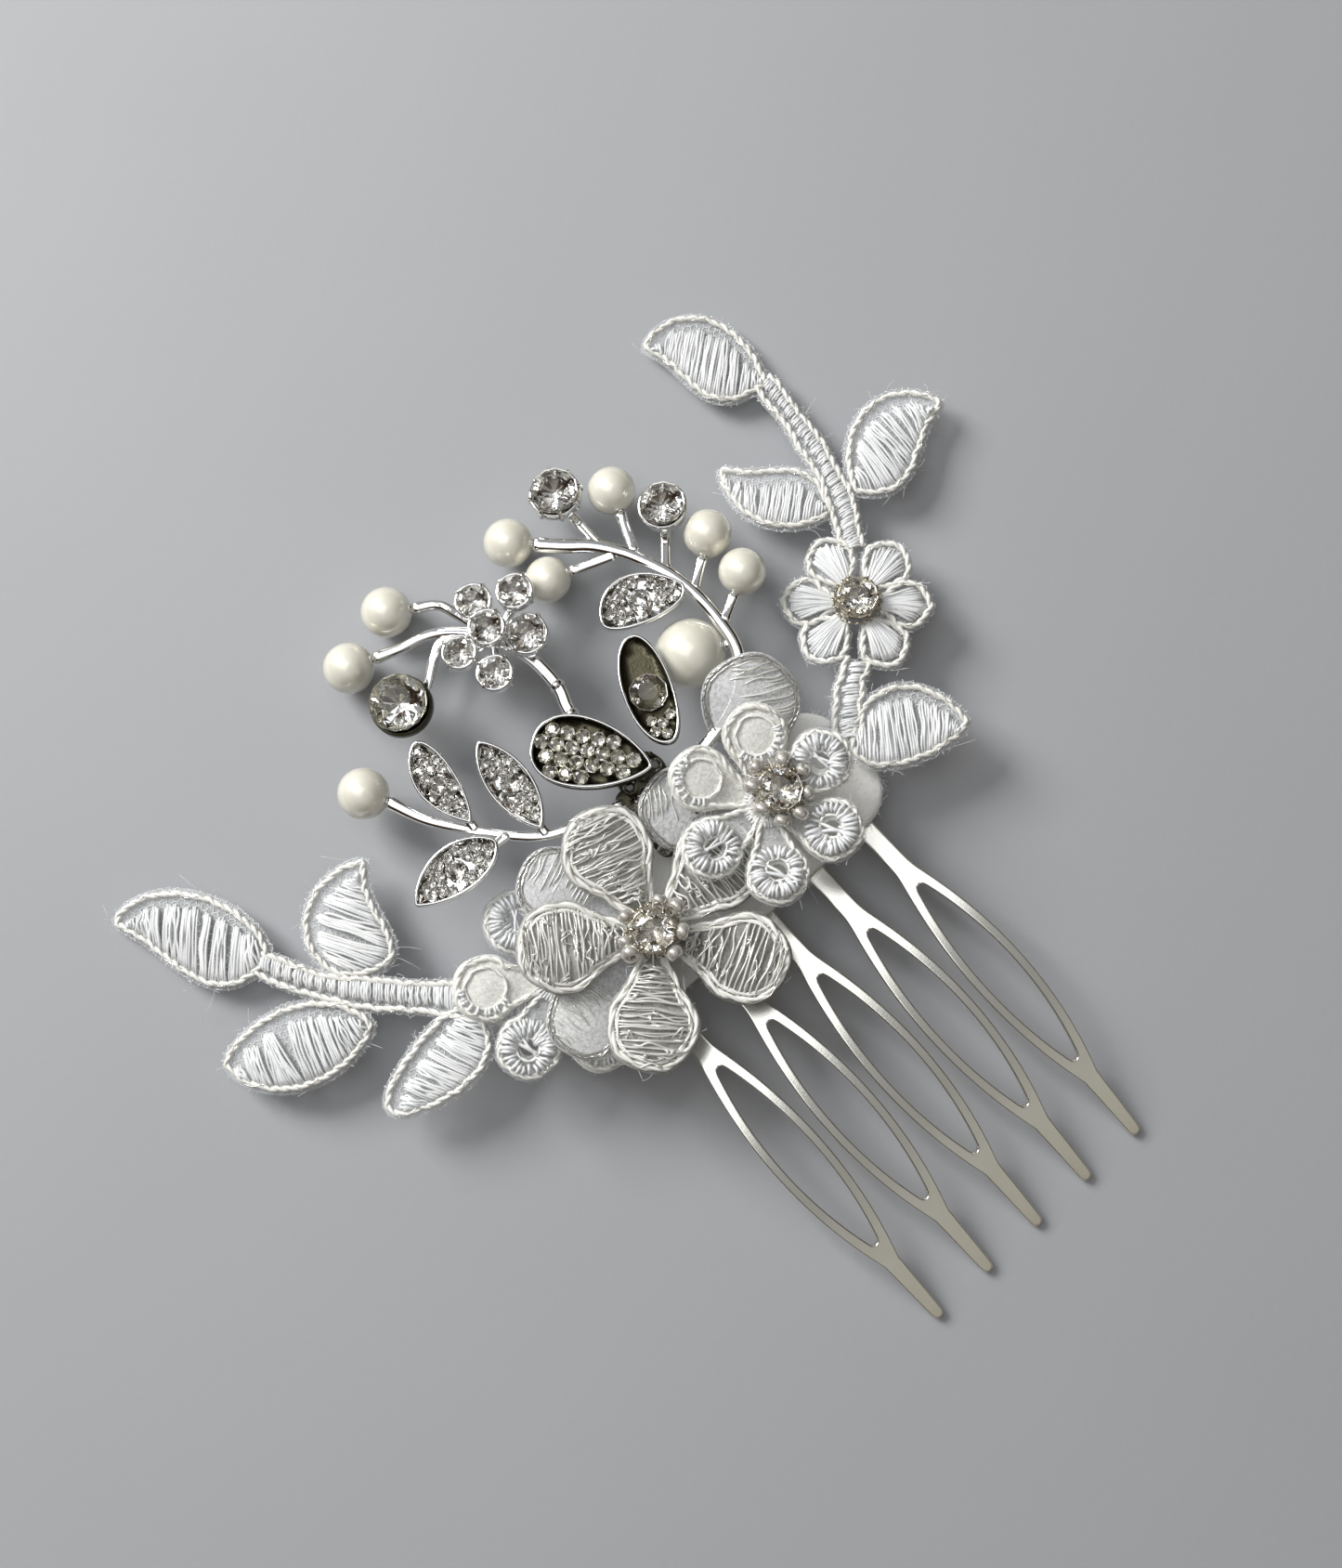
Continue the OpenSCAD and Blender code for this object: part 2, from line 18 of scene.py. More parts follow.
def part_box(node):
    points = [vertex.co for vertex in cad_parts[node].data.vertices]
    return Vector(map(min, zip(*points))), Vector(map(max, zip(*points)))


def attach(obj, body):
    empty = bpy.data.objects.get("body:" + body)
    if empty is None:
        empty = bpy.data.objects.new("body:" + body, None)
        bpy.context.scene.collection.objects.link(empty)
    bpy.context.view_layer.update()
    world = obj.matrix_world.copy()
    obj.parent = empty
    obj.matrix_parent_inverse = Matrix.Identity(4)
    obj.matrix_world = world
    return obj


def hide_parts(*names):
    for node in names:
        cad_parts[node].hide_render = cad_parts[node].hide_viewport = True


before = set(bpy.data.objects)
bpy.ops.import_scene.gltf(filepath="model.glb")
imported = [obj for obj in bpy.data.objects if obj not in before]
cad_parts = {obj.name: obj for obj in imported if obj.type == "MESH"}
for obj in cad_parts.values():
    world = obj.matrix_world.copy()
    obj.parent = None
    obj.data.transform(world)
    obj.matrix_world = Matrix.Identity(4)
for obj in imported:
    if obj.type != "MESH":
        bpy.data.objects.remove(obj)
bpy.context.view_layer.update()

MM = 0.001
TAU = 2 * math.pi
Array = np.ndarray
Point = tuple[float, float]
Line = Sequence[Sequence[float]]
log = logging.getLogger("hair_comb")


class Slot(Enum):
    """Material slots of the record; no piece here takes its finish from them."""

    COMB = "comb_steel"
    FELT = "felt"
    GLUE = "glue"
    SILVER = "silver_casting"
    CRYSTAL = "crystal"
    PEARL = "pearl"
    BEAD = "seed_bead"
    LACE = "corded_lace"
    ORGANZA = "sheer_organza"


class Side(Enum):
    """A side of a leaf, seen from its base towards its tip."""

    LEFT = 1
    RIGHT = -1


# ---- Vectors, paths and planes ----


def unit(v: Array) -> Array:
    """Vectors along the last axis, each divided by its length."""
    return v / np.maximum(np.linalg.norm(v, axis=-1, keepdims=True), 1e-12)


def spline(points: Line, step: float) -> Array:
    """A smooth open curve through points, with samples a step apart.

    Each span is a Catmull-Rom cubic: half of (2b + (c-a)t + (2a-5b+4c-d)t^2 + (3b-a-3c+d)t^3).
    """
    p = np.asarray(points, float)
    run = np.concatenate([2 * p[:1] - p[1:2], p, 2 * p[-1:] - p[-2:-1]])
    t = np.linspace(0, 1, 12, endpoint=False)[None, :, None]
    a, b, c, d = (run[k : len(run) - 3 + k][:, None] for k in range(4))
    square, cube = (2 * a - 5 * b + 4 * c - d) * t**2, (3 * b - a - 3 * c + d) * t**3
    dense = 0.5 * (2 * b + (c - a) * t + square + cube)
    return even(np.concatenate([dense.reshape(-1, p.shape[1]), run[-2:-1]]), step)


def even(line: Array, step: float, closed: bool = False) -> Array:
    """A line again, with samples an even distance apart.

    Args:
        line: points along it; a closed line may or may not repeat its first point.
        step: the distance between samples.
        closed: whether the line is a ring, whose last sample stops one step short of the first.

    Returns:
        The samples.
    """
    if closed and np.linalg.norm(line[0] - line[-1]) > 1e-9:
        line = np.concatenate([line, line[:1]])
    run = reach_of(line)
    count = max(4, math.ceil(run[-1] / step))
    return at_reach(line, run, np.linspace(0, run[-1], count + (not closed), endpoint=not closed))


def reach_of(line: Array) -> Array:
    """How far along a line each of its points is."""
    return np.concatenate([[0], np.cumsum(np.linalg.norm(np.diff(line, axis=0), axis=1))])


def at_reach(line: Array, run: Array, at: Array) -> Array:
    """Points of a line at distances along it, by linear interpolation."""
    return np.stack([np.interp(at, run, line[:, k]) for k in range(line.shape[1])], axis=1)


def at_share(line: Array, share: Array) -> Array:
    """Points of a line at shares of its length."""
    run = reach_of(line)
    return at_reach(line, run, share * run[-1])


def tangent_of(line: Array, closed: bool = False) -> Array:
    """Unit tangents along a line's next-to-last axis, by central differences."""
    if closed:
        return unit(np.roll(line, -1, axis=-2) - np.roll(line, 1, axis=-2))
    return unit(np.gradient(line, axis=-2))


def left_of(tangent: Array) -> Array:
    """Flat vectors turned a quarter turn anticlockwise."""
    return np.stack([-tangent[:, 1], tangent[:, 0]], axis=1)


def rays(angle: Array) -> Array:
    """Unit vectors (x, y) at angles in radians."""
    return np.stack([np.cos(angle), np.sin(angle)], axis=-1)


def with_height(flat: Array, z: float | Array = 0.0) -> Array:
    """Flat points with a height as their third coordinate."""
    return np.concatenate([flat, np.broadcast_to(z, flat.shape[:-1])[..., None]], axis=-1)


@dataclass(frozen=True)
class Plane:
    """A tilted work plane: an origin and two unit axes, with its normal as the third."""

    origin: tuple[float, float, float]
    x: tuple[float, float, float]
    y: tuple[float, float, float]

    @classmethod
    def heading(cls, origin: tuple[float, float, float], heading: float, droop: float) -> "Plane":
        """A plane whose x axis points at a heading and sinks by a droop, both in degrees."""
        h, d = math.radians(heading), math.radians(droop)
        along = (math.cos(h) * math.cos(d), math.sin(h) * math.cos(d), -math.sin(d))
        return cls(origin, along, (-math.sin(h), math.cos(h), 0.0))

    @classmethod
    def nodding(cls, origin: tuple[float, float, float], droop: float) -> "Plane":
        """A plane that keeps the model's X and whose y axis sinks by a droop in degrees."""
        d = math.radians(droop)
        return cls(origin, (1.0, 0.0, 0.0), (0.0, math.cos(d), -math.sin(d)))

    @property
    def axes(self) -> Array:
        """The plane's three axes, one row each."""
        return np.array([self.x, self.y, np.cross(self.x, self.y)])

    def place(self, local: Array) -> Array:
        """Points (x, y, height) of the plane as points of the model."""
        return np.array(self.origin) + np.asarray(local, float) @ self.axes

    def moved(self, x: float, y: float, height: float = 0.0) -> "Plane":
        """The same plane with its origin at one of its own points."""
        return Plane(tuple(self.place(np.array([x, y, height]))), self.x, self.y)


def facing(origin: Array, normal: Array) -> Plane:
    """A plane at a point, with its normal along a vector."""
    n = unit(np.asarray(normal, float))
    x = unit(np.cross((0.0, 1.0, 0.0) if abs(n[1]) < 0.9 else (1.0, 0.0, 0.0), n))
    return Plane(tuple(origin), tuple(x), tuple(np.cross(n, x)))


def inside(points: Array, loops: Sequence[Array]) -> Array:
    """Whether flat points lie inside an odd number of closed loops.

    A ray along +x crosses a loop's edge when the edge's ends lie on both sides of the point's y
    and the crossing is to the right of the point; an odd count of crossings is inside.
    """
    x, y = points[:, 0:1], points[:, 1:2]
    odd = np.zeros(len(points), bool)
    for loop in loops:
        a, b = loop, np.roll(loop, -1, axis=0)
        spans = (a[:, 1] > y) != (b[:, 1] > y)
        rise = np.where(np.abs(b[:, 1] - a[:, 1]) < 1e-12, 1e-12, b[:, 1] - a[:, 1])
        crossing = a[:, 0] + (y - a[:, 1]) / rise * (b[:, 0] - a[:, 0])
        odd ^= (np.sum(spans & (x < crossing), axis=1) % 2).astype(bool)
    return odd


def distance(points: Array, line: Array) -> Array:
    """How far each flat point is from the nearest sample of a line."""
    return np.sqrt(((points[:, None] - line[None]) ** 2).sum(-1).min(axis=1))


def inset(loop: Array, by: float) -> Array:
    """A closed loop moved to its left by a distance, along its own normals."""
    return loop + by * left_of(tangent_of(loop, closed=True))


def area_of(loop: Array) -> float:
    """The area inside a closed flat loop: half the sum of its edges' cross products."""
    nxt = np.roll(loop, -1, axis=0)
    return abs(float((loop[:, 0] * nxt[:, 1] - loop[:, 1] * nxt[:, 0]).sum())) / 2


# ---- Meshes ----


@dataclass
class Shape:
    """Points and faces collected from several surfaces, with a random tone for each of them."""

    points: list[Array] = field(default_factory=list)
    faces: list[Array] = field(default_factory=list)
    tones: list[Array] = field(default_factory=list)
    marks: list[Array] = field(default_factory=list)
    count: int = 0

    def add(
        self, points: Array, faces: Array | list[Array], tone: Array | float = 0.5, mark: int = 0
    ) -> "Shape":
        """Adds one surface.

        Args:
            points: its points.
            faces: its faces, rows of three or four indices into points, in one or more arrays.
            tone: a value from 0 to 1 for each point, or one for all.
            mark: which of the piece's finishes its faces take.

        Returns:
            This shape.
        """
        points = points.reshape(-1, 3)
        self.points.append(points)
        for block in faces if isinstance(faces, list) else [faces]:
            self.faces.append(np.asarray(block, np.int32) + self.count)
            self.marks.append(np.full(len(block), mark, np.int32))
        self.tones.append(np.broadcast_to(tone, len(points)).astype(np.float32))
        self.count += len(points)
        return self

    def mesh(self, name: str, smooth: bool) -> bpy.types.Mesh:
        """The collected surfaces as one mesh, in metres."""
        co = np.concatenate(self.points).astype(np.float32) * MM
        sizes = np.concatenate([np.full(len(f), f.shape[1], np.int32) for f in self.faces])
        loops = np.concatenate([f.reshape(-1) for f in self.faces])
        mesh = bpy.data.meshes.new(name)
        mesh.vertices.add(len(co))
        mesh.vertices.foreach_set("co", co.reshape(-1))
        mesh.loops.add(len(loops))
        mesh.loops.foreach_set("vertex_index", loops)
        mesh.polygons.add(len(sizes))
        mesh.polygons.foreach_set("loop_start", (np.cumsum(sizes) - sizes).astype(np.int32))
        mesh.polygons.foreach_set("use_smooth", np.full(len(sizes), smooth))
        mesh.polygons.foreach_set("material_index", np.concatenate(self.marks))
        tone = mesh.attributes.new("tone", "FLOAT", "POINT")
        tone.data.foreach_set("value", np.concatenate(self.tones))
        mesh.update(calc_edges=True)
        mesh.validate()
        return mesh


def frame_of(tangent: Array, up: Sequence[float] | Array) -> tuple[Array, Array]:
    """The side (up x tangent) and normal (tangent x side) of each tangent."""
    side = unit(np.cross(np.broadcast_to(np.asarray(up, float), tangent.shape), tangent))
    return side, np.cross(tangent, side)


def grid_quads(rings: int, sides: int, ring_closed: bool, side_closed: bool) -> Array:
    """Quads of a grid of rings by sides, turned so that ring x side points outwards.

    Args:
        rings: how many rows of points.
        sides: how many points in a row.
        ring_closed: whether the last row joins the first.
        side_closed: whether the last point of a row joins its first.

    Returns:
        Rows of four indices.
    """
    last = np.arange(rings - (not ring_closed)), np.arange(sides - (not side_closed))
    i, j = np.meshgrid(*last, indexing="ij")
    i2, j2 = (i + 1) % rings, (j + 1) % sides
    return np.stack([i * sides + j, i * sides + j2, i2 * sides + j2, i2 * sides + j], -1).reshape(-1, 4)


def sweep(
    paths: Array,
    radius: float | Array,
    sides: int = 4,
    up: Sequence[float] | Array = (0.0, 0.0, 1.0),
    closed: bool = False,
) -> tuple[Array, Array]:
    """Round or shaped tubes along many paths at once.

    A ring's point is the path's point plus radius times (cos a along the side direction, and
    sin a along the normal), where side is up x tangent and normal is tangent x side.

    Args:
        paths: points of n paths with m points each, an n by m by 3 array.
        radius: one radius, or an array that spreads over paths, points and sides.
        sides: points round a tube, an even number.
        up: the direction that the tube's normal leans to.
        closed: whether each path is a ring.

    Returns:
        The points and the quads, with flat caps on open tubes.
    """
    n, m, _ = paths.shape
    side, normal = frame_of(tangent_of(paths, closed), up)
    angle = np.arange(sides) / sides * TAU
    ring = np.cos(angle)[:, None] * side[:, :, None] + np.sin(angle)[:, None] * normal[:, :, None]
    points = paths[:, :, None] + ring * np.broadcast_to(np.asarray(radius, float), (n, m, sides))[..., None]
    faces = grid_quads(m, sides, closed, True)
    if not closed:
        fan = np.array([[0, k, k + 1, k + 2] for k in range(1, sides - 2, 2)])
        faces = np.concatenate([faces, fan[:, ::-1], fan + (m - 1) * sides])
    faces = (faces[None] + (np.arange(n) * m * sides)[:, None, None]).reshape(-1, 4)
    return points.reshape(-1, 3), faces


def revolve(profile: Sequence[Point], count: int, plane: Plane) -> tuple[Array, Array]:
    """A profile (radius, height) turned round a plane's normal, with closed poles.

    Args:
        profile: points from the bottom pole, round the outside, to the top pole or the start.
        count: how many points round the axis.
        plane: its origin and normal are the axis.

    Returns:
        The points and the quads.
    """
    p = np.asarray(profile, float)
    angle = np.arange(count) / count * TAU
    local = with_height(p[:, 0:1, None] * rays(angle), p[:, 1:2])
    return plane.place(local.reshape(-1, 3)), grid_quads(len(p), count, False, True)


def triangulate(loops: Sequence[Array], spacing: float, union: bool) -> tuple[Array, Array]:
    """Triangles that fill flat loops, by a constrained Delaunay triangulation.

    A triangle stays when its centre is inside the loops. Points of a grid with alternate rows
    shifted by half a step are added inside where a spacing is given.

    Args:
        loops: closed loops of flat points.
        spacing: the distance between added points, or 0 for none.
        union: whether being in any loop counts as inside, and not only in an odd number.

    Returns:
        The flat points and the triangles, which turn anticlockwise.
    """
    points = np.concatenate(loops)
    starts = np.cumsum([0] + [len(loop) for loop in loops])
    edges = [np.arange(len(loop)) + start for loop, start in zip(loops, starts)]
    edges = np.concatenate([np.stack([e, np.roll(e, -1)], axis=1) for e in edges])
    if spacing:
        low, high = points.min(axis=0), points.max(axis=0)
        rows = np.arange(low[1], high[1], spacing * 0.87)
        gx, gy = np.meshgrid(np.arange(low[0], high[0], spacing), rows)
        gx[1::2] += spacing / 2
        grid = np.stack([gx.ravel(), gy.ravel()], axis=1)
        grid = grid[within(grid, loops, union)]
        grid = grid[distance(grid, points) > spacing * 0.5]
        points = np.concatenate([points, grid])
    made = delaunay_2d_cdt(points.tolist(), edges.tolist(), [], 0, 1e-6)
    flat, triangles = np.array(made[0], float), np.array(made[2])
    return flat, triangles[within(flat[triangles].mean(axis=1), loops, union)]


def within(points: Array, loops: Sequence[Array], union: bool) -> Array:
    """Whether flat points lie in any loop, or in an odd number of loops."""
    if union:
        return np.any([inside(points, [loop]) for loop in loops], axis=0)
    return inside(points, loops)


def plate(
    loops: Sequence[Array], profile: Sequence[Point], spacing: float = 0.0
) -> tuple[Array, list[Array]]:
    """A closed plate whose edge has a profile.

    Every loop is inset by each of the profile's insets in turn and laid at the height that goes
    with it, neighbouring rings are joined by quads, and the first and last rings are filled.

    Args:
        loops: an anticlockwise outline, and clockwise holes.
        profile: pairs of inset and height, from the top face, over the edge, to the bottom face.
        spacing: the distance between points added inside the faces, or 0 for none.

    Returns:
        The points (x, y, height) and the faces.
    """
    top, triangles = triangulate([inset(loop, profile[0][0]) for loop in loops], spacing, False)
    count = sum(len(loop) for loop in loops)
    rings = [with_height(np.concatenate([inset(loop, by) for loop in loops]), z) for by, z in profile]
    extra = top[count:]
    points = np.concatenate([*rings, with_height(extra, profile[0][1]), with_height(extra, profile[-1][1])])
    starts = np.cumsum([0] + [len(loop) for loop in loops])[:-1]
    here = np.arange(count)
    after = np.concatenate([np.roll(np.arange(len(loop)), -1) + s for loop, s in zip(loops, starts)])
    level = (np.arange(len(profile) - 1) * count)[:, None]
    quads = np.stack([here + level, here + level + count, after + level + count, after + level], -1)
    base = len(profile) * count
    upper = np.where(triangles < count, triangles, triangles - count + base)
    lower = np.where(triangles < count, triangles + base - count, triangles - count + base + len(extra))
    return points, [quads.reshape(-1, 4), upper, lower[:, ::-1]]


def film(
    loops: Sequence[Array], thickness: float, spacing: float, union: bool = True
) -> tuple[Array, list[Array]]:
    """A thin closed sheet that fills flat loops; its rim joins the top and bottom faces.

    Args:
        loops: closed loops of flat points.
        thickness: the sheet's thickness.
        spacing: the distance between points added inside.
        union: whether being in any loop counts as inside, and not only in an odd number.

    Returns:
        The points (x, y, height) and the faces.
    """
    flat, triangles = triangulate(loops, spacing, union)
    used, triangles = np.unique(triangles, return_inverse=True)
    flat, triangles = flat[used], triangles.reshape(-1, 3)
    edges = np.concatenate([triangles[:, [0, 1]], triangles[:, [1, 2]], triangles[:, [2, 0]]])
    _, first, times = np.unique(np.sort(edges, axis=1), axis=0, return_index=True, return_counts=True)
    rim, n = edges[first[times == 1]], len(flat)
    walls = np.stack([rim[:, 0], rim[:, 0] + n, rim[:, 1] + n, rim[:, 1]], axis=1)
    points = np.concatenate([with_height(flat, thickness / 2), with_height(flat, -thickness / 2)])
    return points, [triangles, triangles[:, ::-1] + n, walls]


def faceted(rings: Sequence[tuple[float, float, float]], count: int) -> tuple[Array, Array]:
    """A cut stone or foil: rings of corners joined by flat triangles, for a diameter of one.

    Args:
        rings: radius, height and turn in steps for each ring, from the bottom up the outside; a
            ring of radius 0 is a point.
        count: corners in a ring.

    Returns:
        The points (x, y, height) and the triangles.
    """
    r, z, turn = (np.array(rings)[:, k : k + 1] for k in range(3))
    angle = (np.arange(count) + turn) / count * TAU
    points = np.stack([r * np.cos(angle), r * np.sin(angle), z + 0 * angle], axis=-1).reshape(-1, 3)
    quads = grid_quads(len(rings), count, False, True)
    faces = np.concatenate([quads[:, [0, 1, 3]], quads[:, [1, 2, 3]]])
    a, b, c = (points[faces[:, k]] for k in range(3))
    whole = np.linalg.norm(np.cross(b - a, c - a), axis=1) > 1e-9
    merged, inverse = np.unique(np.round(points, 9), axis=0, return_inverse=True)
    return merged, inverse.reshape(-1)[faces[whole]]


def twisted(line: Array, radius: float, pitch: float, closed: bool, up: Array) -> tuple[Array, Array]:
    """A cord of two strands that wind round a line.

    Each strand's middle is the line's point plus 0.42 of the cord's radius times (cos w, sin w) on
    the side and normal directions, with w growing by a full turn every pitch.

    Args:
        line: the cord's middle line.
        radius: the cord's radius.
        pitch: the length of one full turn.
        closed: whether the line is a ring.
        up: the direction that the cord lies under.

    Returns:
        The points and the quads.
    """
    line = even(line, pitch / 7, closed)
    step = np.linalg.norm(np.diff(line, axis=0), axis=1).mean()
    turns = round(len(line) * step / pitch) if closed else len(line) * step / pitch
    phase = np.arange(len(line)) / len(line) * turns * TAU
    side, normal = frame_of(tangent_of(line, closed), up)
    turn = phase[None] + np.array([[0.0], [math.pi]])
    lean = np.cos(turn)[..., None] * side + np.sin(turn)[..., None] * normal
    return sweep(line[None] + lean * radius * 0.42, radius * 0.62, 6, up, closed)


def threads(
    starts: Array, ends: Array, crown: float, radius: float, up: Array, rng: np.random.Generator,
    rings: int, sway: float,
) -> tuple[Array, Array, Array]:
    """Satin threads that arch from one rail to another.

    The middle of a thread is the straight line between its ends, raised by the crown times
    the 0.6th power of sin(pi s), with s from 0 to 1 along it, and moved by random vectors times
    sin(pi s) and sin(3 pi s).

    Args:
        starts: where each thread leaves one rail.
        ends: where it meets the other.
        crown: how high it arches.
        radius: the thread's radius.
        up: the direction that it arches to.
        rng: source of the small differences between threads.
        rings: rings along a thread.
        sway: how far a thread strays from its line.

    Returns:
        The points, the quads and a tone for each point.
    """
    s = np.linspace(0, 1, rings)
    rise = crown * np.sin(np.pi * np.clip(s, 0.02, 0.98)) ** 0.6
    uneven = rng.normal(1, 0.15, (len(starts), 1, 1))
    straight = starts[:, None] + (ends - starts)[:, None] * s[:, None]
    waves = np.sin(np.pi * s * np.array([[1], [3]]))[:, None, :, None]
    stray = (rng.normal(0, sway, (2, len(starts), 1, 3)) * waves).sum(axis=0)
    thick = radius * rng.normal(1, 0.1, (len(starts), 1, 1))
    points, faces = sweep(straight + rise[:, None] * np.asarray(up) * uneven + stray, thick, 4, up)
    tone = np.repeat(rng.random(len(starts)), rings * 4)
    return points, faces, tone


def bundled(length: float, rng: np.random.Generator, pitch: float = 0.33) -> tuple[Array, Array]:
    """Where threads lie along an edge, four to a bundle, and how far short of it each one stops.

    The outer two threads of a bundle stop shorter than the inner two, and bundles differ.

    Args:
        length: the edge's length.
        rng: source of the differences.
        pitch: the mean distance between threads.

    Returns:
        A share of the length for each thread, and a distance.
    """
    bundles = max(2, round(length / (4 * pitch)))
    k = np.arange(4)
    place = (np.arange(bundles)[:, None] + 0.06 + (k + 0.5) * 0.22) / bundles
    short = 0.3 * np.abs(k - 1.5) - 0.15 + rng.uniform(0, 0.5, (bundles, 1))
    return place.ravel(), (short + rng.normal(0, 0.07, (bundles, 4))).ravel()


# ---- Finishes ----

Colour = tuple[float, float, float]
GREY = (0.8, 0.8, 0.8, 1.0)


def rgba(colour: Colour) -> tuple[float, float, float, float]:
    """A colour with full opacity."""
    return (*colour, 1.0)


@dataclass
class Graph:
    """A node tree with short ways to add and feed nodes."""

    tree: bpy.types.NodeTree

    def feed(self, node: bpy.types.Node, inputs: dict) -> None:
        """Sets a node's inputs to plain values, or joins them to sockets."""
        for key, value in inputs.items():
            if isinstance(value, bpy.types.NodeSocket):
                self.tree.links.new(value, node.inputs[key])
            else:
                node.inputs[key].default_value = value

    def add(self, kind: str, inputs: dict | None = None, **settings: object) -> bpy.types.Node:
        """A shader node of a kind, with its settings and its inputs."""
        node = self.tree.nodes.new(f"ShaderNode{kind}")
        for key, value in settings.items():
            setattr(node, key, value)
        self.feed(node, inputs or {})
        return node

    def math(self, operation: str, *inputs: object) -> bpy.types.NodeSocket:
        """The result of a Math node."""
        return self.add("Math", dict(enumerate(inputs)), operation=operation).outputs[0]

    def noise(self, inputs: dict) -> bpy.types.NodeSocket:
        """Noise on object coordinates."""
        where = self.add("TexCoord").outputs["Object"]
        return self.add("TexNoise", {"Vector": where, **inputs}).outputs["Fac"]

    def mix(self, share: bpy.types.NodeSocket, first: object, second: object) -> bpy.types.NodeSocket:
        """A colour between two, by a share."""
        return self.add("Mix", {"Factor": share, 6: first, 7: second}, data_type="RGBA").outputs[2]

    def ramp(
        self, share: bpy.types.NodeSocket, stops: Sequence[tuple[float, Colour]]
    ) -> bpy.types.NodeSocket:
        """A colour from a ramp with stops (position, colour)."""
        node = self.add("ValToRGB", {"Fac": share})
        stop = node.color_ramp.elements
        for end, (at, colour) in zip((stop[0], stop[1]), (stops[0], stops[-1])):
            end.position, end.color = at, rgba(colour)
        for at, colour in stops[1:-1]:
            stop.new(at).color = rgba(colour)
        return node.outputs["Color"]


def group_tree(
    name: str, inputs: dict[str, object], outputs: dict[str, str]
) -> tuple[Graph, object, object]:
    """An empty node group with named sockets.

    Args:
        name: the group's name.
        inputs: default by input name, a colour or a number.
        outputs: kind by output name.

    Returns:
        The group's graph, the sockets that its inputs come from, and its output node.
    """
    tree = bpy.data.node_groups.new(name, "ShaderNodeTree")
    for key, default in inputs.items():
        kind = "NodeSocketColor" if isinstance(default, tuple) else "NodeSocketFloat"
        tree.interface.new_socket(key, in_out="INPUT", socket_type=kind).default_value = default
    for key, kind in outputs.items():
        tree.interface.new_socket(key, in_out="OUTPUT", socket_type=f"NodeSocket{kind}")
    return Graph(tree), tree.nodes.new("NodeGroupInput").outputs, tree.nodes.new("NodeGroupOutput")


@cache
def grain_group() -> bpy.types.NodeTree:
    """The shared group for fine grain and handling marks.

    Its colour is a base colour darkened by broad noise, its roughness a base roughness raised by
    the same noise, and its normal a bump of fine noise.
    """
    g, given, end = group_tree(
        "grain and handling marks",
        {"Color": GREY, "Dark Color": GREY, "Roughness": 0.3, "Spread": 0.1, "Broad Scale": 200.0,
         "Fine Scale": 3000.0, "Bump": 0.1},
        {"Color": "Color", "Roughness": "Float", "Normal": "Vector"},
    )
    broad = g.noise({"Scale": given["Broad Scale"], "Detail": 4.0, "Roughness": 0.6})
    fine = g.noise({"Scale": given["Fine Scale"], "Detail": 3.0})
    bump = g.add("Bump", {"Distance": 0.0001, "Height": fine, "Strength": given["Bump"]})
    g.feed(end, {
        "Color": g.mix(broad, given["Color"], given["Dark Color"]),
        "Roughness": g.math("MULTIPLY_ADD", broad, given["Spread"], given["Roughness"]),
        "Normal": bump.outputs[0],
    })
    return g.tree


@cache
def strand_group() -> bpy.types.NodeTree:
    """The shared group for textile strands.

    Its colour mixes two shades by each strand's own tone and by fine fibre noise, and its normal
    is a bump of that fibre noise.
    """
    g, given, end = group_tree(
        "textile strands",
        {"Light Color": GREY, "Shade Color": GREY, "Fibre Scale": 4000.0, "Bump": 0.3},
        {"Color": "Color", "Fibre": "Float", "Normal": "Vector"},
    )
    tone = g.add("Attribute", attribute_name="tone").outputs["Fac"]
    fibre = g.noise({"Scale": given["Fibre Scale"], "Detail": 3.0, "Distortion": 0.6})
    share = g.math("MULTIPLY_ADD", fibre, 0.4, g.math("MULTIPLY", tone, 0.6))
    bump = g.add("Bump", {"Distance": 0.00006, "Height": fibre, "Strength": given["Bump"]})
    colour = g.mix(share, given["Light Color"], given["Shade Color"])
    g.feed(end, {"Color": colour, "Fibre": fibre, "Normal": bump.outputs[0]})
    return g.tree


@dataclass(frozen=True)
class Finish:
    """A material made once and shared; subclasses wire it."""

    name: str

    def material(self) -> bpy.types.Material:
        """The finish's material."""
        made = bpy.data.materials.get(self.name)
        if not made:
            made = bpy.data.materials.new(self.name)
            made.use_nodes = True
            self.wire(Graph(made.node_tree), made.node_tree.nodes["Principled BSDF"])
        return made

    def wire(self, g: Graph, shader: bpy.types.Node) -> None:
        """Sets the shader up."""
        raise NotImplementedError


@dataclass(frozen=True)
class Grained(Finish):
    """A solid surface with fine grain: metal, adhesive, felt and floor."""

    light: Colour
    dark: Colour
    metallic: float
    roughness: float
    spread: float
    broad_scale: float
    fine_scale: float
    bump: float
    coat: float = 0.0
    sheen: float = 0.0
    transmission: float = 0.0

    def wire(self, g: Graph, shader: bpy.types.Node) -> None:
        """The shared grain group on the shader's colour, roughness and normal."""
        values = {
            "Color": rgba(self.light), "Dark Color": rgba(self.dark), "Roughness": self.roughness,
            "Spread": self.spread, "Broad Scale": self.broad_scale, "Fine Scale": self.fine_scale,
            "Bump": self.bump,
        }
        grain = g.add("Group", values, node_tree=grain_group()).outputs
        g.feed(shader, {
            "Base Color": grain["Color"], "Roughness": grain["Roughness"], "Normal": grain["Normal"],
            "Metallic": self.metallic, "Coat Weight": self.coat, "Coat Roughness": 0.08,
            "Sheen Weight": self.sheen, "Transmission Weight": self.transmission,
        })


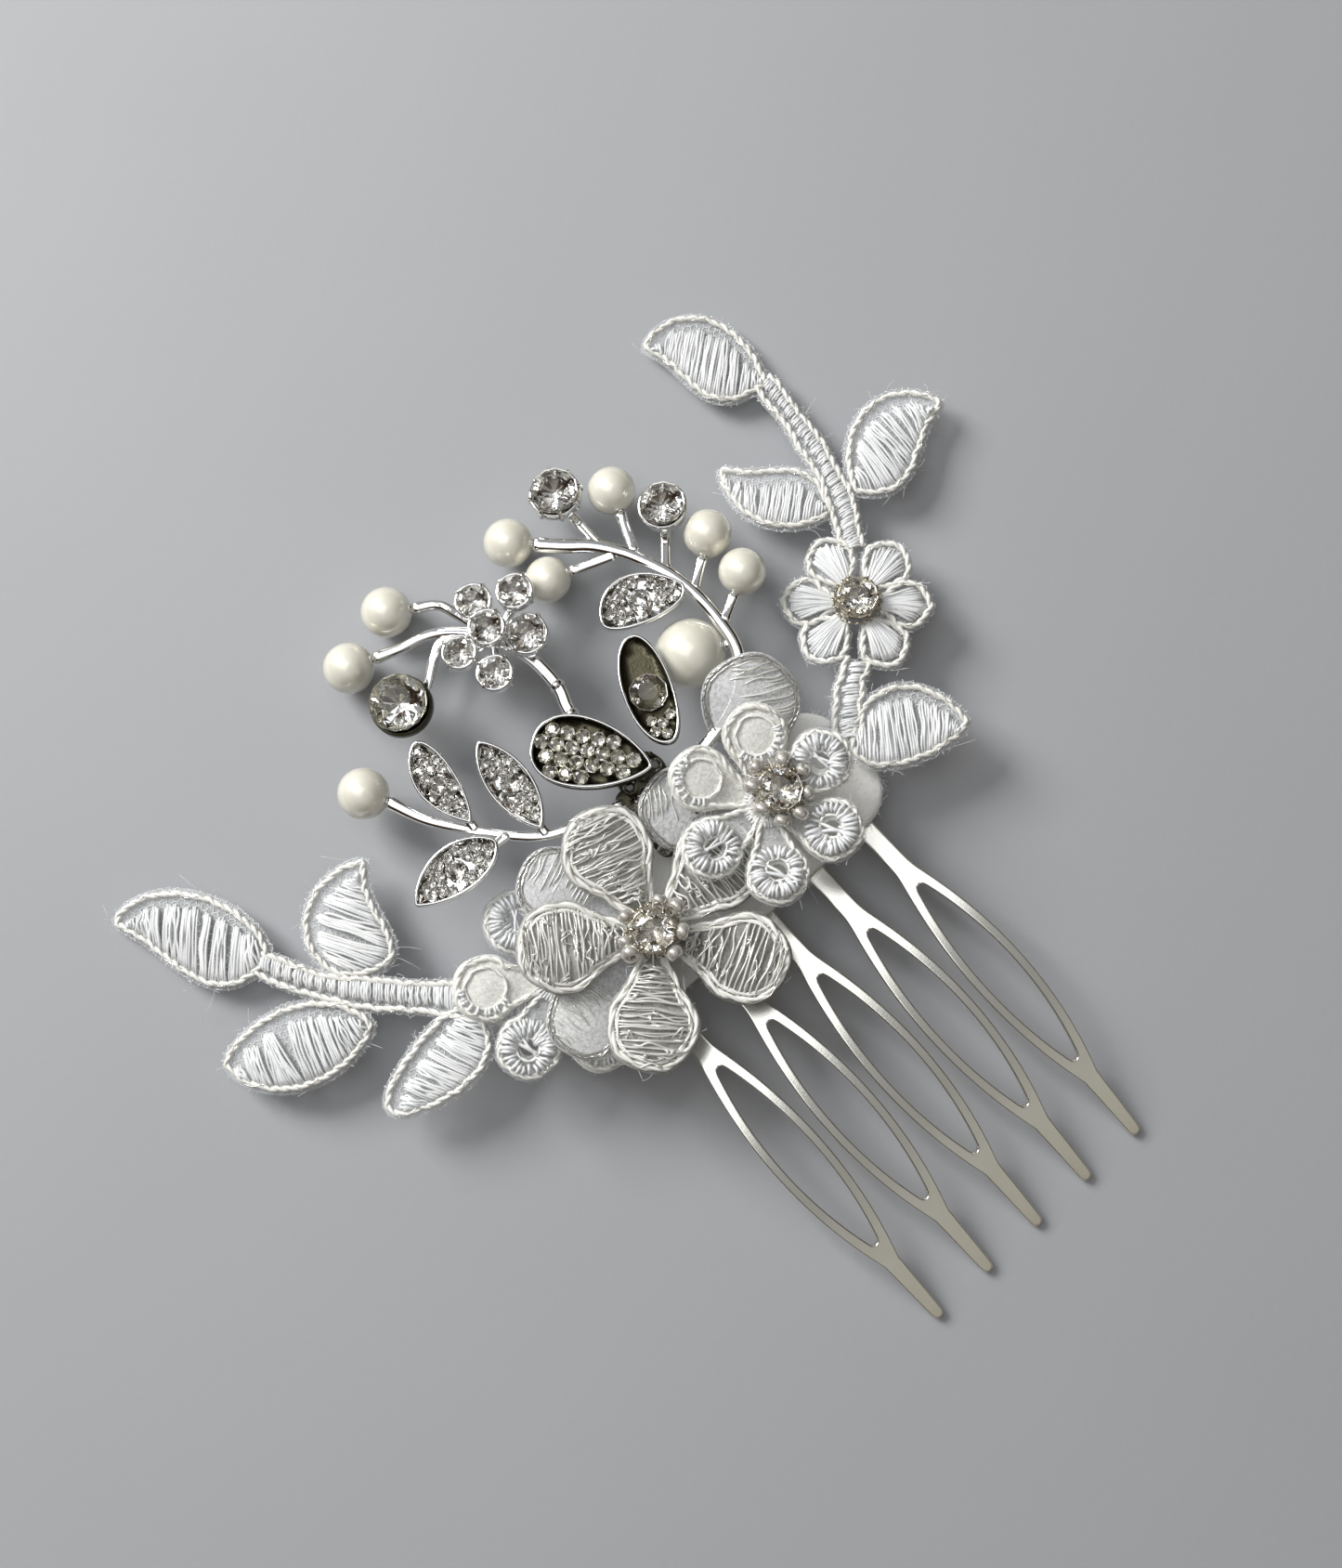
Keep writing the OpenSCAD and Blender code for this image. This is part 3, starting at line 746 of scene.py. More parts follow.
@dataclass(frozen=True)
class Textile(Finish):
    """A finish that takes its colour and normal from the strand group."""

    light: Colour
    shade: Colour

    def strands(self, g: Graph, shader: bpy.types.Node, scale: float, bump: float) -> object:
        """Joins the strand group to a shader, and gives the group's outputs."""
        values = {"Light Color": rgba(self.light), "Shade Color": rgba(self.shade),
                  "Fibre Scale": scale, "Bump": bump}
        strand = g.add("Group", values, node_tree=strand_group()).outputs
        g.feed(shader, {"Base Color": strand["Color"], "Normal": strand["Normal"]})
        return strand


@dataclass(frozen=True)
class Strand(Textile):
    """A textile strand with its own tone and fibres."""

    roughness: float
    metallic: float
    sheen: float
    glow: float = 0.0

    def wire(self, g: Graph, shader: bpy.types.Node) -> None:
        """The shared strand group, with sheen and a little light inside."""
        self.strands(g, shader, 4000.0, 0.4)
        g.feed(shader, {
            "Roughness": self.roughness, "Metallic": self.metallic, "Sheen Weight": self.sheen,
            "Subsurface Weight": self.glow, "Subsurface Radius": (0.0006, 0.0006, 0.0006),
        })


@dataclass(frozen=True)
class Film(Textile):
    """A sheer fabric film: part of the light passes between its fine threads."""

    cover: float
    roughness: float

    def wire(self, g: Graph, shader: bpy.types.Node) -> None:
        """The strand group for the colour, and its fibre noise stretched to a weave for the cover."""
        strand = self.strands(g, shader, 2600.0, 0.5)
        weave = {"Value": strand["Fibre"], "From Min": 0.35, "From Max": 0.65,
                 "To Min": self.cover * 0.6, "To Max": min(1.0, self.cover * 1.4)}
        cover = g.add("MapRange", weave).outputs["Result"]
        g.feed(shader, {"Alpha": cover, "Roughness": self.roughness, "Sheen Weight": 0.3})


@dataclass(frozen=True)
class Nacre(Finish):
    """Imitation pearl: a cream body under a glossy lustre, with painted shade that darkens it towards the
    rim.
    """

    def wire(self, g: Graph, shader: bpy.types.Node) -> None:
        """Painted rim shade by Layer Weight, faint cloudiness by noise, and a clear coat."""
        cloud = g.noise({"Scale": 500.0, "Detail": 2.0})
        facing = g.add("LayerWeight", {"Blend": 0.45}).outputs["Facing"]
        share = g.math("MULTIPLY_ADD", cloud, 0.18, facing)
        g.feed(shader, {
            # Painted shade: the base colour darkens from cream to the ramp's darker end towards the rim.
            "Base Color": g.ramp(share, ((0.1, (0.93, 0.91, 0.80)), (0.95, (0.74, 0.72, 0.62)))),
            "Roughness": 0.24, "Metallic": 0.15, "Coat Weight": 1.0, "Coat Roughness": 0.03,
            "Subsurface Weight": 0.15, "Subsurface Radius": (0.001, 0.0009, 0.0007),
        })


@dataclass(frozen=True)
class Crystal(Finish):
    """Clear cut glass."""

    def wire(self, g: Graph, shader: bpy.types.Node) -> None:
        """Full transmission with a very slight cloud in the roughness."""
        rough = g.math("MULTIPLY", g.noise({"Scale": 900.0}), 0.03)
        tint = (0.96, 0.96, 0.95, 1.0)
        g.feed(shader, {"Roughness": rough, "Base Color": tint, "Transmission Weight": 1.0, "IOR": 1.58})


COMB_METAL = Grained("polished comb strip", (0.93, 0.92, 0.86), (0.78, 0.76, 0.68),
                     1.0, 0.15, 0.10, 160.0, 5000.0, 0.06)
SILVER = Grained("bright plated casting", (0.97, 0.97, 0.96), (0.86, 0.86, 0.85),
                 1.0, 0.03, 0.07, 500.0, 2500.0, 0.05)
ANTIQUE = Grained("shaded plating", (0.11, 0.105, 0.07), (0.035, 0.03, 0.02),
                  1.0, 0.28, 0.20, 900.0, 3500.0, 0.4)
GILT = Grained("gilt wire", (0.80, 0.75, 0.62), (0.38, 0.31, 0.22), 1.0, 0.12, 0.12, 900.0, 3000.0, 0.3)
FOIL = Grained("stone foil", (0.88, 0.87, 0.84), (0.42, 0.39, 0.34), 1.0, 0.12, 0.10, 900.0, 4000.0, 0.1)
WARM_FOIL = Grained("warm stone foil", (0.90, 0.87, 0.78), (0.50, 0.45, 0.36),
                    1.0, 0.22, 0.1, 900.0, 4000.0, 0.2)
SMOKY_FOIL = Grained("smoky stone foil", (0.80, 0.78, 0.66), (0.24, 0.22, 0.16),
                     1.0, 0.16, 0.1, 900.0, 4000.0, 0.2)
BEAD = Grained("lined glass bead", (0.82, 0.81, 0.77), (0.44, 0.40, 0.35),
               0.5, 0.12, 0.1, 1200.0, 4000.0, 0.1, 1.0)
FELT = Grained("pressed felt", (0.92, 0.92, 0.90), (0.80, 0.80, 0.78),
               0.0, 0.9, 0.1, 400.0, 2500.0, 0.9, 0.0, 0.4)
GLUE = Grained("set adhesive", (0.90, 0.92, 0.93), (0.80, 0.83, 0.85),
               0.0, 0.22, 0.2, 300.0, 1500.0, 0.3, 0.4, 0.0, 0.35)
FLOOR = Grained("pale table", (0.42, 0.43, 0.45), (0.39, 0.40, 0.42), 0.0, 0.75, 0.1, 12.0, 900.0, 0.2)
CORD = Strand("lace cord", (0.96, 0.96, 0.93), (0.78, 0.775, 0.72), 0.42, 0.0, 0.3, 0.1)
GLINT = Strand("metallic wrapping thread", (0.95, 0.94, 0.90), (0.70, 0.67, 0.60), 0.2, 0.8, 0.0)
SATIN = Strand("rayon satin thread", (0.95, 0.955, 0.955), (0.74, 0.765, 0.78), 0.28, 0.0, 0.25, 0.1)
SILKY = Strand("silvery satin thread", (0.97, 0.97, 0.94), (0.66, 0.66, 0.61), 0.22, 0.35, 0.2)
NET = Strand("net yarn", (0.92, 0.93, 0.94), (0.80, 0.82, 0.84), 0.5, 0.0, 0.3)
WIRE_EDGE = Strand("silver edging wire", (0.88, 0.88, 0.87), (0.40, 0.39, 0.36), 0.18, 0.9, 0.0)
GROUND = Film("lace ground", (0.90, 0.91, 0.92), (0.76, 0.79, 0.81), 0.24, 0.5)
MILKY = Film("milky petal film", (0.93, 0.93, 0.89), (0.83, 0.83, 0.78), 0.88, 0.15)
SHEER = Film("sheer iridescent organza", (0.88, 0.89, 0.90), (0.70, 0.71, 0.72), 0.58, 0.15)
# A grey sheer film; its near-black shade colour is painted shade, seen through the gaps of petals with
# sparse threads.
SMOKE_AND_PAINTED_SHADE = Film("smoky petal film and painted shade", (0.66, 0.66, 0.63), (0.10, 0.09, 0.075), 0.8, 0.3)
PEARL = Nacre("pearl lustre")
GLASS = Crystal("cut crystal")


def show(
    name: str, shape: Shape, finishes: Finish | Sequence[Finish],
    replaces: Sequence[str] = (), smooth: bool = True,
) -> bpy.types.Object:
    """Makes a piece of a shape, dresses it and ties it to the model.

    Args:
        name: the piece's name.
        shape: its surfaces.
        finishes: its finish, or one for each mark.
        replaces: CAD nodes that it stands for.
        smooth: whether its faces are shaded smooth.

    Returns:
        The piece.
    """
    mesh = shape.mesh(name, smooth)
    piece = bpy.data.objects.new(name, mesh)
    bpy.context.scene.collection.objects.link(piece)
    for finish in [finishes] if isinstance(finishes, Finish) else finishes:
        mesh.materials.append(finish.material())
    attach(piece, "root")
    if replaces:
        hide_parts(*replaces)
    log.info("%s: %d faces", name, len(mesh.polygons))
    return piece


def node_box(node: str) -> tuple[Array, Array]:
    """The lowest and highest corners of a CAD node, in millimetres."""
    low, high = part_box(node)
    return np.array(low) / MM, np.array(high) / MM


BRANCH = Plane.nodding((0.0, 18.0, 9.2), 9.6)
RIGHT_SPRAY = Plane.heading((20.0, 8.0, 6.2), 63.0, 5.2)
LEFT_SPRAY = Plane.heading((-30.0, 13.0, 6.0), 128.5, 6.5)
LEVEL = Plane((0.0, 0.0, 0.0), (1.0, 0.0, 0.0), (0.0, 1.0, 0.0))


# ---- Comb and pads ----


def lens_width(s: Array, half_length: float, half_width: float) -> Array:
    """Half the width of a two-arc lens at a distance from its middle, and 0 beyond its ends."""
    radius = (half_length**2 + half_width**2) / (2 * half_width)
    return np.maximum(np.sqrt(np.maximum(radius**2 - s**2, 0)) - (radius - half_width), 0)


@dataclass(frozen=True)
class MetalComb:
    """The stamped comb: a spine bar and five teeth with long eyes, bowed along the teeth."""

    teeth: int = 5
    pitch: float = 7.7
    spine_width: float = 4.0
    reach: float = 50.0
    neck_width: float = 2.3
    eye_y: float = -25.25
    eye_half: float = 13.25
    eye_width: float = 4.5
    eye_end: float = 0.53
    eye_taper: float = 1.35
    outer_width: float = 6.6
    shoulder: float = 5.75
    shaft_width: float = 2.0
    shaft_start: float = 8.5
    tip_width: float = 1.4
    fillet: float = 1.0
    thickness: float = 0.8
    bow_radius: float = 70.0
    bow_y: float = -22.2
    crown_z: float = 6.14
    rounding: float = 0.14
    step: float = 0.45

    def half_width(self, y: Array) -> Array:
        """Half a tooth's width at places y along it.

        It is the 8-norm of three widths, which rounds the corners between them: the neck, the
        lens round the eye, and the tapered shaft; a quarter circle joins the neck to the spine.
        """
        neck = np.where(y > self.eye_y + self.eye_half - 1, self.neck_width / 2, 0)
        eye = lens_width(y - self.eye_y, self.eye_half + self.shoulder, self.outer_width / 2)
        along = np.clip((-self.reach + self.shaft_start - y) / self.shaft_start, 0, 1)
        taper = (self.tip_width - self.shaft_width) / 2
        shaft = np.where(along > 0, self.shaft_width / 2 + taper * along, 0)
        corner = np.clip(self.fillet - (-self.spine_width / 2 - y), 0, self.fillet)
        flare = self.fillet - np.sqrt(self.fillet**2 - corner**2)
        return (neck**8 + eye**8 + shaft**8) ** (1 / 8) + flare

    def outline(self) -> Array:
        """The whole comb's outline, anticlockwise, bulging round each tooth's tip."""
        half, r = self.spine_width / 2, self.tip_width / 2
        end = self.pitch * (self.teeth - 1) / 2 + self.outer_width / 2 - half
        y = np.linspace(-half, -self.reach + r, 160)
        tip = np.linspace(math.pi, TAU, 9)[1:-1]
        side = np.stack([self.half_width(y), y], axis=1)
        tooth = np.concatenate([side * (-1, 1), r * rays(tip) + (0, y[-1]), side[::-1]])
        places = (np.arange(self.teeth) - (self.teeth - 1) / 2) * self.pitch
        run = (tooth[None] + np.stack([places, 0 * places], 1)[:, None]).reshape(-1, 2)
        turn = np.linspace(-math.pi / 2, math.pi / 2, 13)
        cap = half * rays(turn)
        return even(np.concatenate([run, cap + (end, 0), -cap - (end, 0)]), self.step, closed=True)

    def eye(self, x: float) -> Array:
        """The opening in the tooth at x, clockwise: a lens with its ends cut off and rounded."""
        straight = self.eye_half - self.eye_end
        s = np.linspace(-straight, straight, 60)
        width = np.maximum(lens_width(s, self.eye_half + self.eye_taper, self.eye_width / 2), self.eye_end)
        turn = np.linspace(0, math.pi, 9)[1:-1]
        cap = self.eye_end * rays(turn) + (0, straight)
        right = np.stack([width, s], axis=1)
        loop = np.concatenate([right, cap, right[::-1] * (-1, 1), -cap]) + (x, self.eye_y)
        return even(loop, self.step, closed=True)[::-1]

    def bow(self, points: Array) -> Array:
        """Flat points laid on the bowed sheet: turned about the bow's axis by their y."""
        lean = (points[:, 1] - self.bow_y) / self.bow_radius
        out = self.bow_radius + points[:, 2]
        rise = self.crown_z - self.bow_radius + out * np.sqrt(1 - lean**2)
        return np.stack([points[:, 0], self.bow_y + out * lean, rise], axis=1)

    def build(self) -> None:
        """Makes the comb with rounded edges."""
        half, r = self.thickness / 2, self.rounding
        edge = [(2 * r, half), (r, half), (0.3 * r, half - 0.3 * r), (0, half - r)]
        places = (np.arange(self.teeth) - (self.teeth - 1) / 2) * self.pitch
        loops = [self.outline(), *(self.eye(x) for x in places)]
        points, faces = plate(loops, edge + [(by, -z) for by, z in edge[::-1]])
        show("comb_plate", Shape().add(self.bow(points), faces), COMB_METAL, ["comb"])


def round_rect(low: Array, high: Array, r: float, step: float) -> Array:
    """A rectangle with round corners, anticlockwise."""
    turn = np.linspace(0, math.pi / 2, 10)
    left, front, right, back = low[0] + r, low[1] + r, high[0] - r, high[1] - r
    corners = []
    for quarter, centre in enumerate([(right, back), (left, back), (left, front), (right, front)]):
        corners.append(r * rays(turn + quarter * math.pi / 2) + centre)
    return even(np.concatenate(corners), step, closed=True)


def fuzz(
    roots: Array, length: float, radius: float, rng: np.random.Generator, up: Array, lift: float = 0.5
) -> tuple[Array, Array, Array]:
    """Short stray fibres that curl away from their roots.

    A fibre's point at share s of its length is the root plus s times one random direction plus
    s squared times another, so each fibre is a small parabola. None dips into the table.

    Args:
        roots: where the fibres start.
        length: their mean length.
        radius: their radius.
        rng: source of their directions.
        up: the direction that they lean to.
        lift: how much they lean to it.

    Returns:
        The points, the quads and the tones.
    """
    s = np.linspace(0, 1, 5)[None, :, None]
    size = length * rng.gamma(3, 1 / 3, (len(roots), 1, 1))
    first = rng.normal(0, 1, (len(roots), 1, 3)) + lift * np.asarray(up)
    curl = rng.normal(0, 0.8, (len(roots), 1, 3))
    paths = roots[:, None] + size * (unit(first) * s + curl * s**2 * 0.6)
    paths[..., 2] = np.maximum(paths[..., 2], 0.08)
    points, faces = sweep(paths, radius, 4, (0.31, 0.17, 0.93))
    return points, faces, np.repeat(rng.random(len(roots)), 5 * 4)


@dataclass(frozen=True)
class Pads:
    """Two felt pads, the adhesive between them and the stitches that close them."""

    corner: float = 5.0
    seed: int = 11

    def pad(self, node: str, piece: str, rng: np.random.Generator) -> None:
        """One felt pad with a soft edge and a little loft, in the place of a node.

        Its top rises by 0.07 sin(1.3 x) sin(1.7 y), and its points stray sideways at random.
        """
        low, high = node_box(node)
        r = (high[2] - low[2]) * 0.4
        profile = [(1.2 * r, high[2]), (0.4 * r, high[2] - 0.12), (0, high[2] - r), (0, low[2] + r),
                   (0.8 * r, low[2])]
        loop = round_rect(low, high, self.corner, 0.6)
        points, faces = plate([loop], profile, 0.7)
        wave = 0.07 * np.sin(1.3 * points[:, 0]) * np.sin(1.7 * points[:, 1])
        points[:, 2] += np.where(points[:, 2] > low[2] + r, wave, 0)
        points[:, :2] += rng.normal(0, 0.03, (len(points), 2))
        shape = Shape().add(points, faces)
        roots = np.concatenate([with_height(loop, z) for z in np.linspace(low[2] + 0.3, high[2] - 0.2, 4)])
        made = show(piece, shape, FELT, [node])
        hairs = Shape().add(*fuzz(roots, 0.5, 0.02, rng, (0, 0, 1), 0.2))
        fibres = show(f"{piece}_fibres", hairs, NET)

    def stitches(self) -> None:
        """Slanted overcast stitches round the back pad's edge."""
        low, high = node_box("back_cover")
        outer = round_rect(low + 0.02, high - 0.02, self.corner, 1.6)
        inner = np.roll(inset(outer, 1.0), -1, axis=0)
        under, over = with_height(inner, low[2] - 0.03), with_height(outer, high[2] - 0.3)
        side = with_height(inset(outer, -0.08), low[2] + 0.25)
        paths = np.stack([under + (0, 0, 0.15), under, side, over, over + (0, 0, 0.2)], axis=1)
        points, faces = sweep(paths, 0.11, 6, (0.2, 0.3, 0.93))
        show("back_pad_stitches", Shape().add(points, faces, 0.4), SATIN)

    def adhesive(self) -> None:
        """Adhesive that wells out between the pads: a plate with an uneven, rounded edge.

        Its outline moves out by 0.35 sin(0.9 k) + 0.2 sin(2.3 k) along the loop.
        """
        low, high = node_box("glue_bed")
        loop = round_rect(low - (-0.3, 0.2, 0), high + (0.2, -0.4, 0), 1.6, 0.5)
        k = np.arange(len(loop)) * 0.5
        out = 0.35 * np.sin(0.9 * k) + 0.2 * np.sin(2.3 * k)
        loop = loop - out[:, None] * left_of(tangent_of(loop, closed=True))
        profile = [(0.9, high[2]), (0.3, high[2] - 0.25), (0, high[2] - 0.9), (0.2, low[2] + 0.5),
                   (0.9, low[2])]
        shape = Shape().add(*plate([loop], profile, 2.0))
        floor, top = (corner[2] for corner in node_box("glue_dots"))
        drop = [(0, floor), (2.1, floor), (1.9, floor + 0.4), (1.6, 5.5), (0, top)]
        for x, y in ((18.8, 6.8), (-23.5, 8.4)):
            shape.add(*revolve(drop, 24, LEVEL.moved(x, y)))
        show("adhesive", shape, GLUE, ["glue_bed", "glue_dots"])

    def build(self) -> None:
        """Makes the pads."""
        rng = np.random.default_rng(self.seed)
        self.pad("back_cover", "back_pad", rng)
        self.pad("base_pad", "front_pad", rng)
        self.stitches()
        self.adhesive()


# ---- Leaves, shared by the lace and the castings ----


@dataclass(frozen=True)
class Edge:
    """One side of a leaf: how far it bulges, where along the leaf, and how sharply."""

    bulge: float
    peak: float = 0.5
    power: float = 1.4

    def width(self, t: Array) -> Array:
        """The distance from the leaf's axis: t^pk (1-t)^((1-p)k), scaled to the bulge at p."""
        a, b = self.peak * self.power, (1 - self.peak) * self.power
        t = np.clip(t, 0, 1)
        return self.bulge * t**a * (1 - t) ** b / (self.peak**a * (1 - self.peak) ** b)


@dataclass(frozen=True)
class Leaf:
    """A leaf between a base and a tip on a work plane."""

    base: Point
    tip: Point
    left: Edge
    right: Edge
    open_side: Side = Side.RIGHT

    def rail(self, side: Side, t: Array, shrink: float = 0.0) -> Array:
        """Points of one side, at shares t of the way to the tip and moved in by shrink."""
        base = np.array(self.base)
        axis = np.array(self.tip) - base
        across = side.value * unit(np.array([-axis[1], axis[0]]))
        width = (self.left if side is Side.LEFT else self.right).width(t) - shrink
        return base + axis * t[:, None] + width[:, None] * across

    def loop(self, step: float) -> Array:
        """The outline, anticlockwise from the base."""
        t = 0.5 - 0.5 * np.cos(np.linspace(0, math.pi, 60))
        run = np.concatenate([self.rail(Side.RIGHT, t), self.rail(Side.LEFT, t)[-2:0:-1]])
        return even(run, step, closed=True)


# ---- Lace ----


@dataclass
class Lace:
    """Shapes that one piece of lace is collected in, on a work plane."""

    plane: Plane
    rng: np.random.Generator
    cords: Shape = field(default_factory=Shape)
    glints: Shape = field(default_factory=Shape)
    satin: Shape = field(default_factory=Shape)
    net: Shape = field(default_factory=Shape)
    ground: Shape = field(default_factory=Shape)
    ground_loops: list[Array] = field(default_factory=list)
    cut_area: float = 0.0

    @property
    def up(self) -> Array:
        """The work plane's normal."""
        return self.plane.axes[2]

    def cord(
        self, line: Array, closed: bool = False, radius: float = 0.38, wander: float = 0.09,
        pitch: float = 2.6,
    ) -> None:
        """A twisted cord with a metallic thread wound the other way round it.

        The line wanders sideways by sums of two sines with random phases.

        Args:
            line: points (x, y, height) on the work plane.
            closed: whether the cord is a ring.
            radius: the cord's radius.
            wander: how far the line wanders.
            pitch: the length of one turn of its strands.
        """
        line = even(line, 0.5, closed)
        k = np.arange(len(line)) / len(line) * TAU
        shift = np.zeros((len(line), 3))
        for axis in range(2):
            for waves in (len(line) // 7 + 1, len(line) // 4 + 1):
                shift[:, axis] += wander * 0.7 * np.sin(k * waves + self.rng.random() * TAU)
        line = self.plane.place(line + shift)
        points, faces = twisted(line, radius, pitch, closed, self.up)
        self.cords.add(points, faces, np.repeat(self.rng.random(2), len(points) // 2))
        thin = even(line, 0.3, closed)
        phase = np.arange(len(thin)) * 0.3 / (pitch * 2.6) * TAU
        side, normal = frame_of(tangent_of(thin), self.up)
        lean = np.cos(phase)[:, None] * side - np.sin(phase)[:, None] * normal
        points, faces = sweep((thin + lean * radius * 0.93)[None], 0.05, 4, self.up)
        self.glints.add(points, faces, self.rng.random())

    def fill(
        self, starts: Array, ends: Array, crown: float = 0.45, radius: float = 0.17,
        height: float = -0.05, rings: int = 8, sway: float = 0.035,
    ) -> None:
        """Satin threads between matching points (x, y) of two rails."""
        a = self.plane.place(with_height(starts, height))
        b = self.plane.place(with_height(ends, height))
        self.satin.add(*threads(a, b, crown, radius, self.up, self.rng, rings, sway))

    def leaf(self, leaf: Leaf) -> None:
        """A corded leaf: outline, satin fill with one serrated side, and ground under it.

        The threads lie in bundles whose ends on the open side stop 1 mm or more short of the cord.
        """
        loop = leaf.loop(0.6)
        self.cord(with_height(loop, 0.05), closed=True)
        length = float(np.linalg.norm(np.subtract(leaf.tip, leaf.base)))
        t, short = bundled(length, self.rng)
        t = 0.05 + 0.91 * t
        other = Side.LEFT if leaf.open_side is Side.RIGHT else Side.RIGHT
        slant = np.repeat(self.rng.normal(0.045, 0.035, len(t) // 4), 4)
        ends = leaf.rail(leaf.open_side, t + slant)
        starts = leaf.rail(other, t - 0.04, 0.2)
        span = np.linalg.norm(ends - starts, axis=1)
        share = np.clip((span - 1.15 - short) / np.maximum(span, 1e-6), 0.3, 1)
        ends = starts + (ends - starts) * share[:, None]
        keep = span > 1.6
        self.fill(starts[keep], ends[keep], 0.6, 0.165, sway=0.06)
        self.ground_loops.append(inset(leaf.loop(0.9), -0.75))

    def stem(self, line: Sequence[Point], widths: Point) -> None:
        """Two cords with bundles of short slanted stitches that start at the left one.

        Args:
            line: the stem's middle line.
            widths: its width at the start and at the end.
        """
        middle = spline(line, 0.4)
        across = left_of(tangent_of(middle))
        share = np.linspace(0, 1, len(middle))
        half = (widths[0] + (widths[1] - widths[0]) * share + 0.25 * np.sin(share * 19)) / 2
        sides = [middle + sign * half[:, None] * across for sign in (1, -1)]
        for side in sides:
            self.cord(with_height(side, 0.05))
        length = len(middle) * 0.4
        t, short = bundled(length, self.rng, 0.36)
        a, b = at_share(sides[0], t), at_share(sides[1], np.minimum(t + 0.8 / length, 1))
        over = unit(b - a)
        self.fill(a + 0.25 * over, b - (0.45 + 0.7 * short[:, None]) * over, 0.42, 0.18)
        rim = [middle + sign * (half + 0.6)[:, None] * across for sign in (-1, 1)]
        self.ground_loops.append(even(np.concatenate([rim[0], rim[1][::-1]]), 0.9, closed=True))

    def tulle(self, cell: float = 0.95, radius: float = 0.05) -> None:
        """Ground under everything so far: a sheer film, a hexagonal net and stray fibres.

        The net's nodes are the corners of a grid of hexagons, moved by small sines of their
        place, and a yarn lies along each side of a hexagon whose middle is on the ground.

        Args:
            cell: the width of a hexagon from corner to corner.
            radius: the yarn's radius.
        """
        loops = self.ground_loops
        points, faces = film(loops, 0.06, 1.1)
        points[:, 2] -= 0.3
        self.ground.add(self.plane.place(points), faces, self.rng.random(len(points)))
        flat = points[faces[0]][..., :2]
        side = np.cross(flat[:, 1] - flat[:, 0], flat[:, 2] - flat[:, 0])
        self.cut_area += float(np.abs(side).sum()) / 2
        every = np.concatenate(loops)
        low, high = every.min(axis=0), every.max(axis=0)
        a = cell / 2
        across, along = high - low
        i, j = np.meshgrid(np.arange(-1, across / (1.5 * a) + 1), np.arange(-1, along / a + 1))
        centre = np.stack([low[0] + 1.5 * a * i, low[1] + math.sqrt(3) * a * (j / 2)], -1)
        centre = centre[(i + j) % 2 == 0].reshape(-1, 2)
        turn = np.arange(4) * TAU / 6
        corner = centre[:, None] + a * rays(turn)
        ends = np.stack([corner[:, :3], corner[:, 1:]], axis=2).reshape(-1, 2, 2)
        ends = ends[within(ends.mean(axis=1), loops, True)]
        shift = 0.06 * np.sin(ends[..., ::-1] * 7.3) + 0.05 * np.sin(ends * 12.1)
        paths = self.plane.place(with_height(ends + shift, -0.22))
        points, faces = sweep(paths, radius, 4, self.up)
        self.net.add(points, faces, np.repeat(self.rng.random(len(paths)), 8))
        roots = every[self.rng.integers(0, len(every), len(every) // 2)]
        roots = self.plane.place(with_height(roots, -0.25))
        self.net.add(*fuzz(roots, 0.7, 0.022, self.rng, self.up, 0.3))
        self.net.add(*fuzz(roots[::3], 1.4, 0.018, self.rng, self.up, 0.2))

    def show(
        self, name: str, node: str, grounds: Finish | Sequence[Finish], rests_on: str,
        slot: Slot = Slot.LACE, cord: Finish = CORD, satin: Finish = SATIN,
    ) -> None:
        """Args:
            name: the start of the pieces' names.
            node: the CAD node that they stand for.
            grounds: finish of the ground, or one for each mark.
            rests_on: what the lace lies on; not used.
            cord: finish of the cords.
            satin: finish of the threads.
        """
        sheet = show(f"{name}_ground", self.ground, grounds, [node])
        parts = [
            show(f"{name}_cords", self.cords, cord),
            show(f"{name}_metal_thread", self.glints, GLINT),
            show(f"{name}_satin", self.satin, satin),
        ]
        if self.net.points:
            parts.append(show(f"{name}_net", self.net, NET))


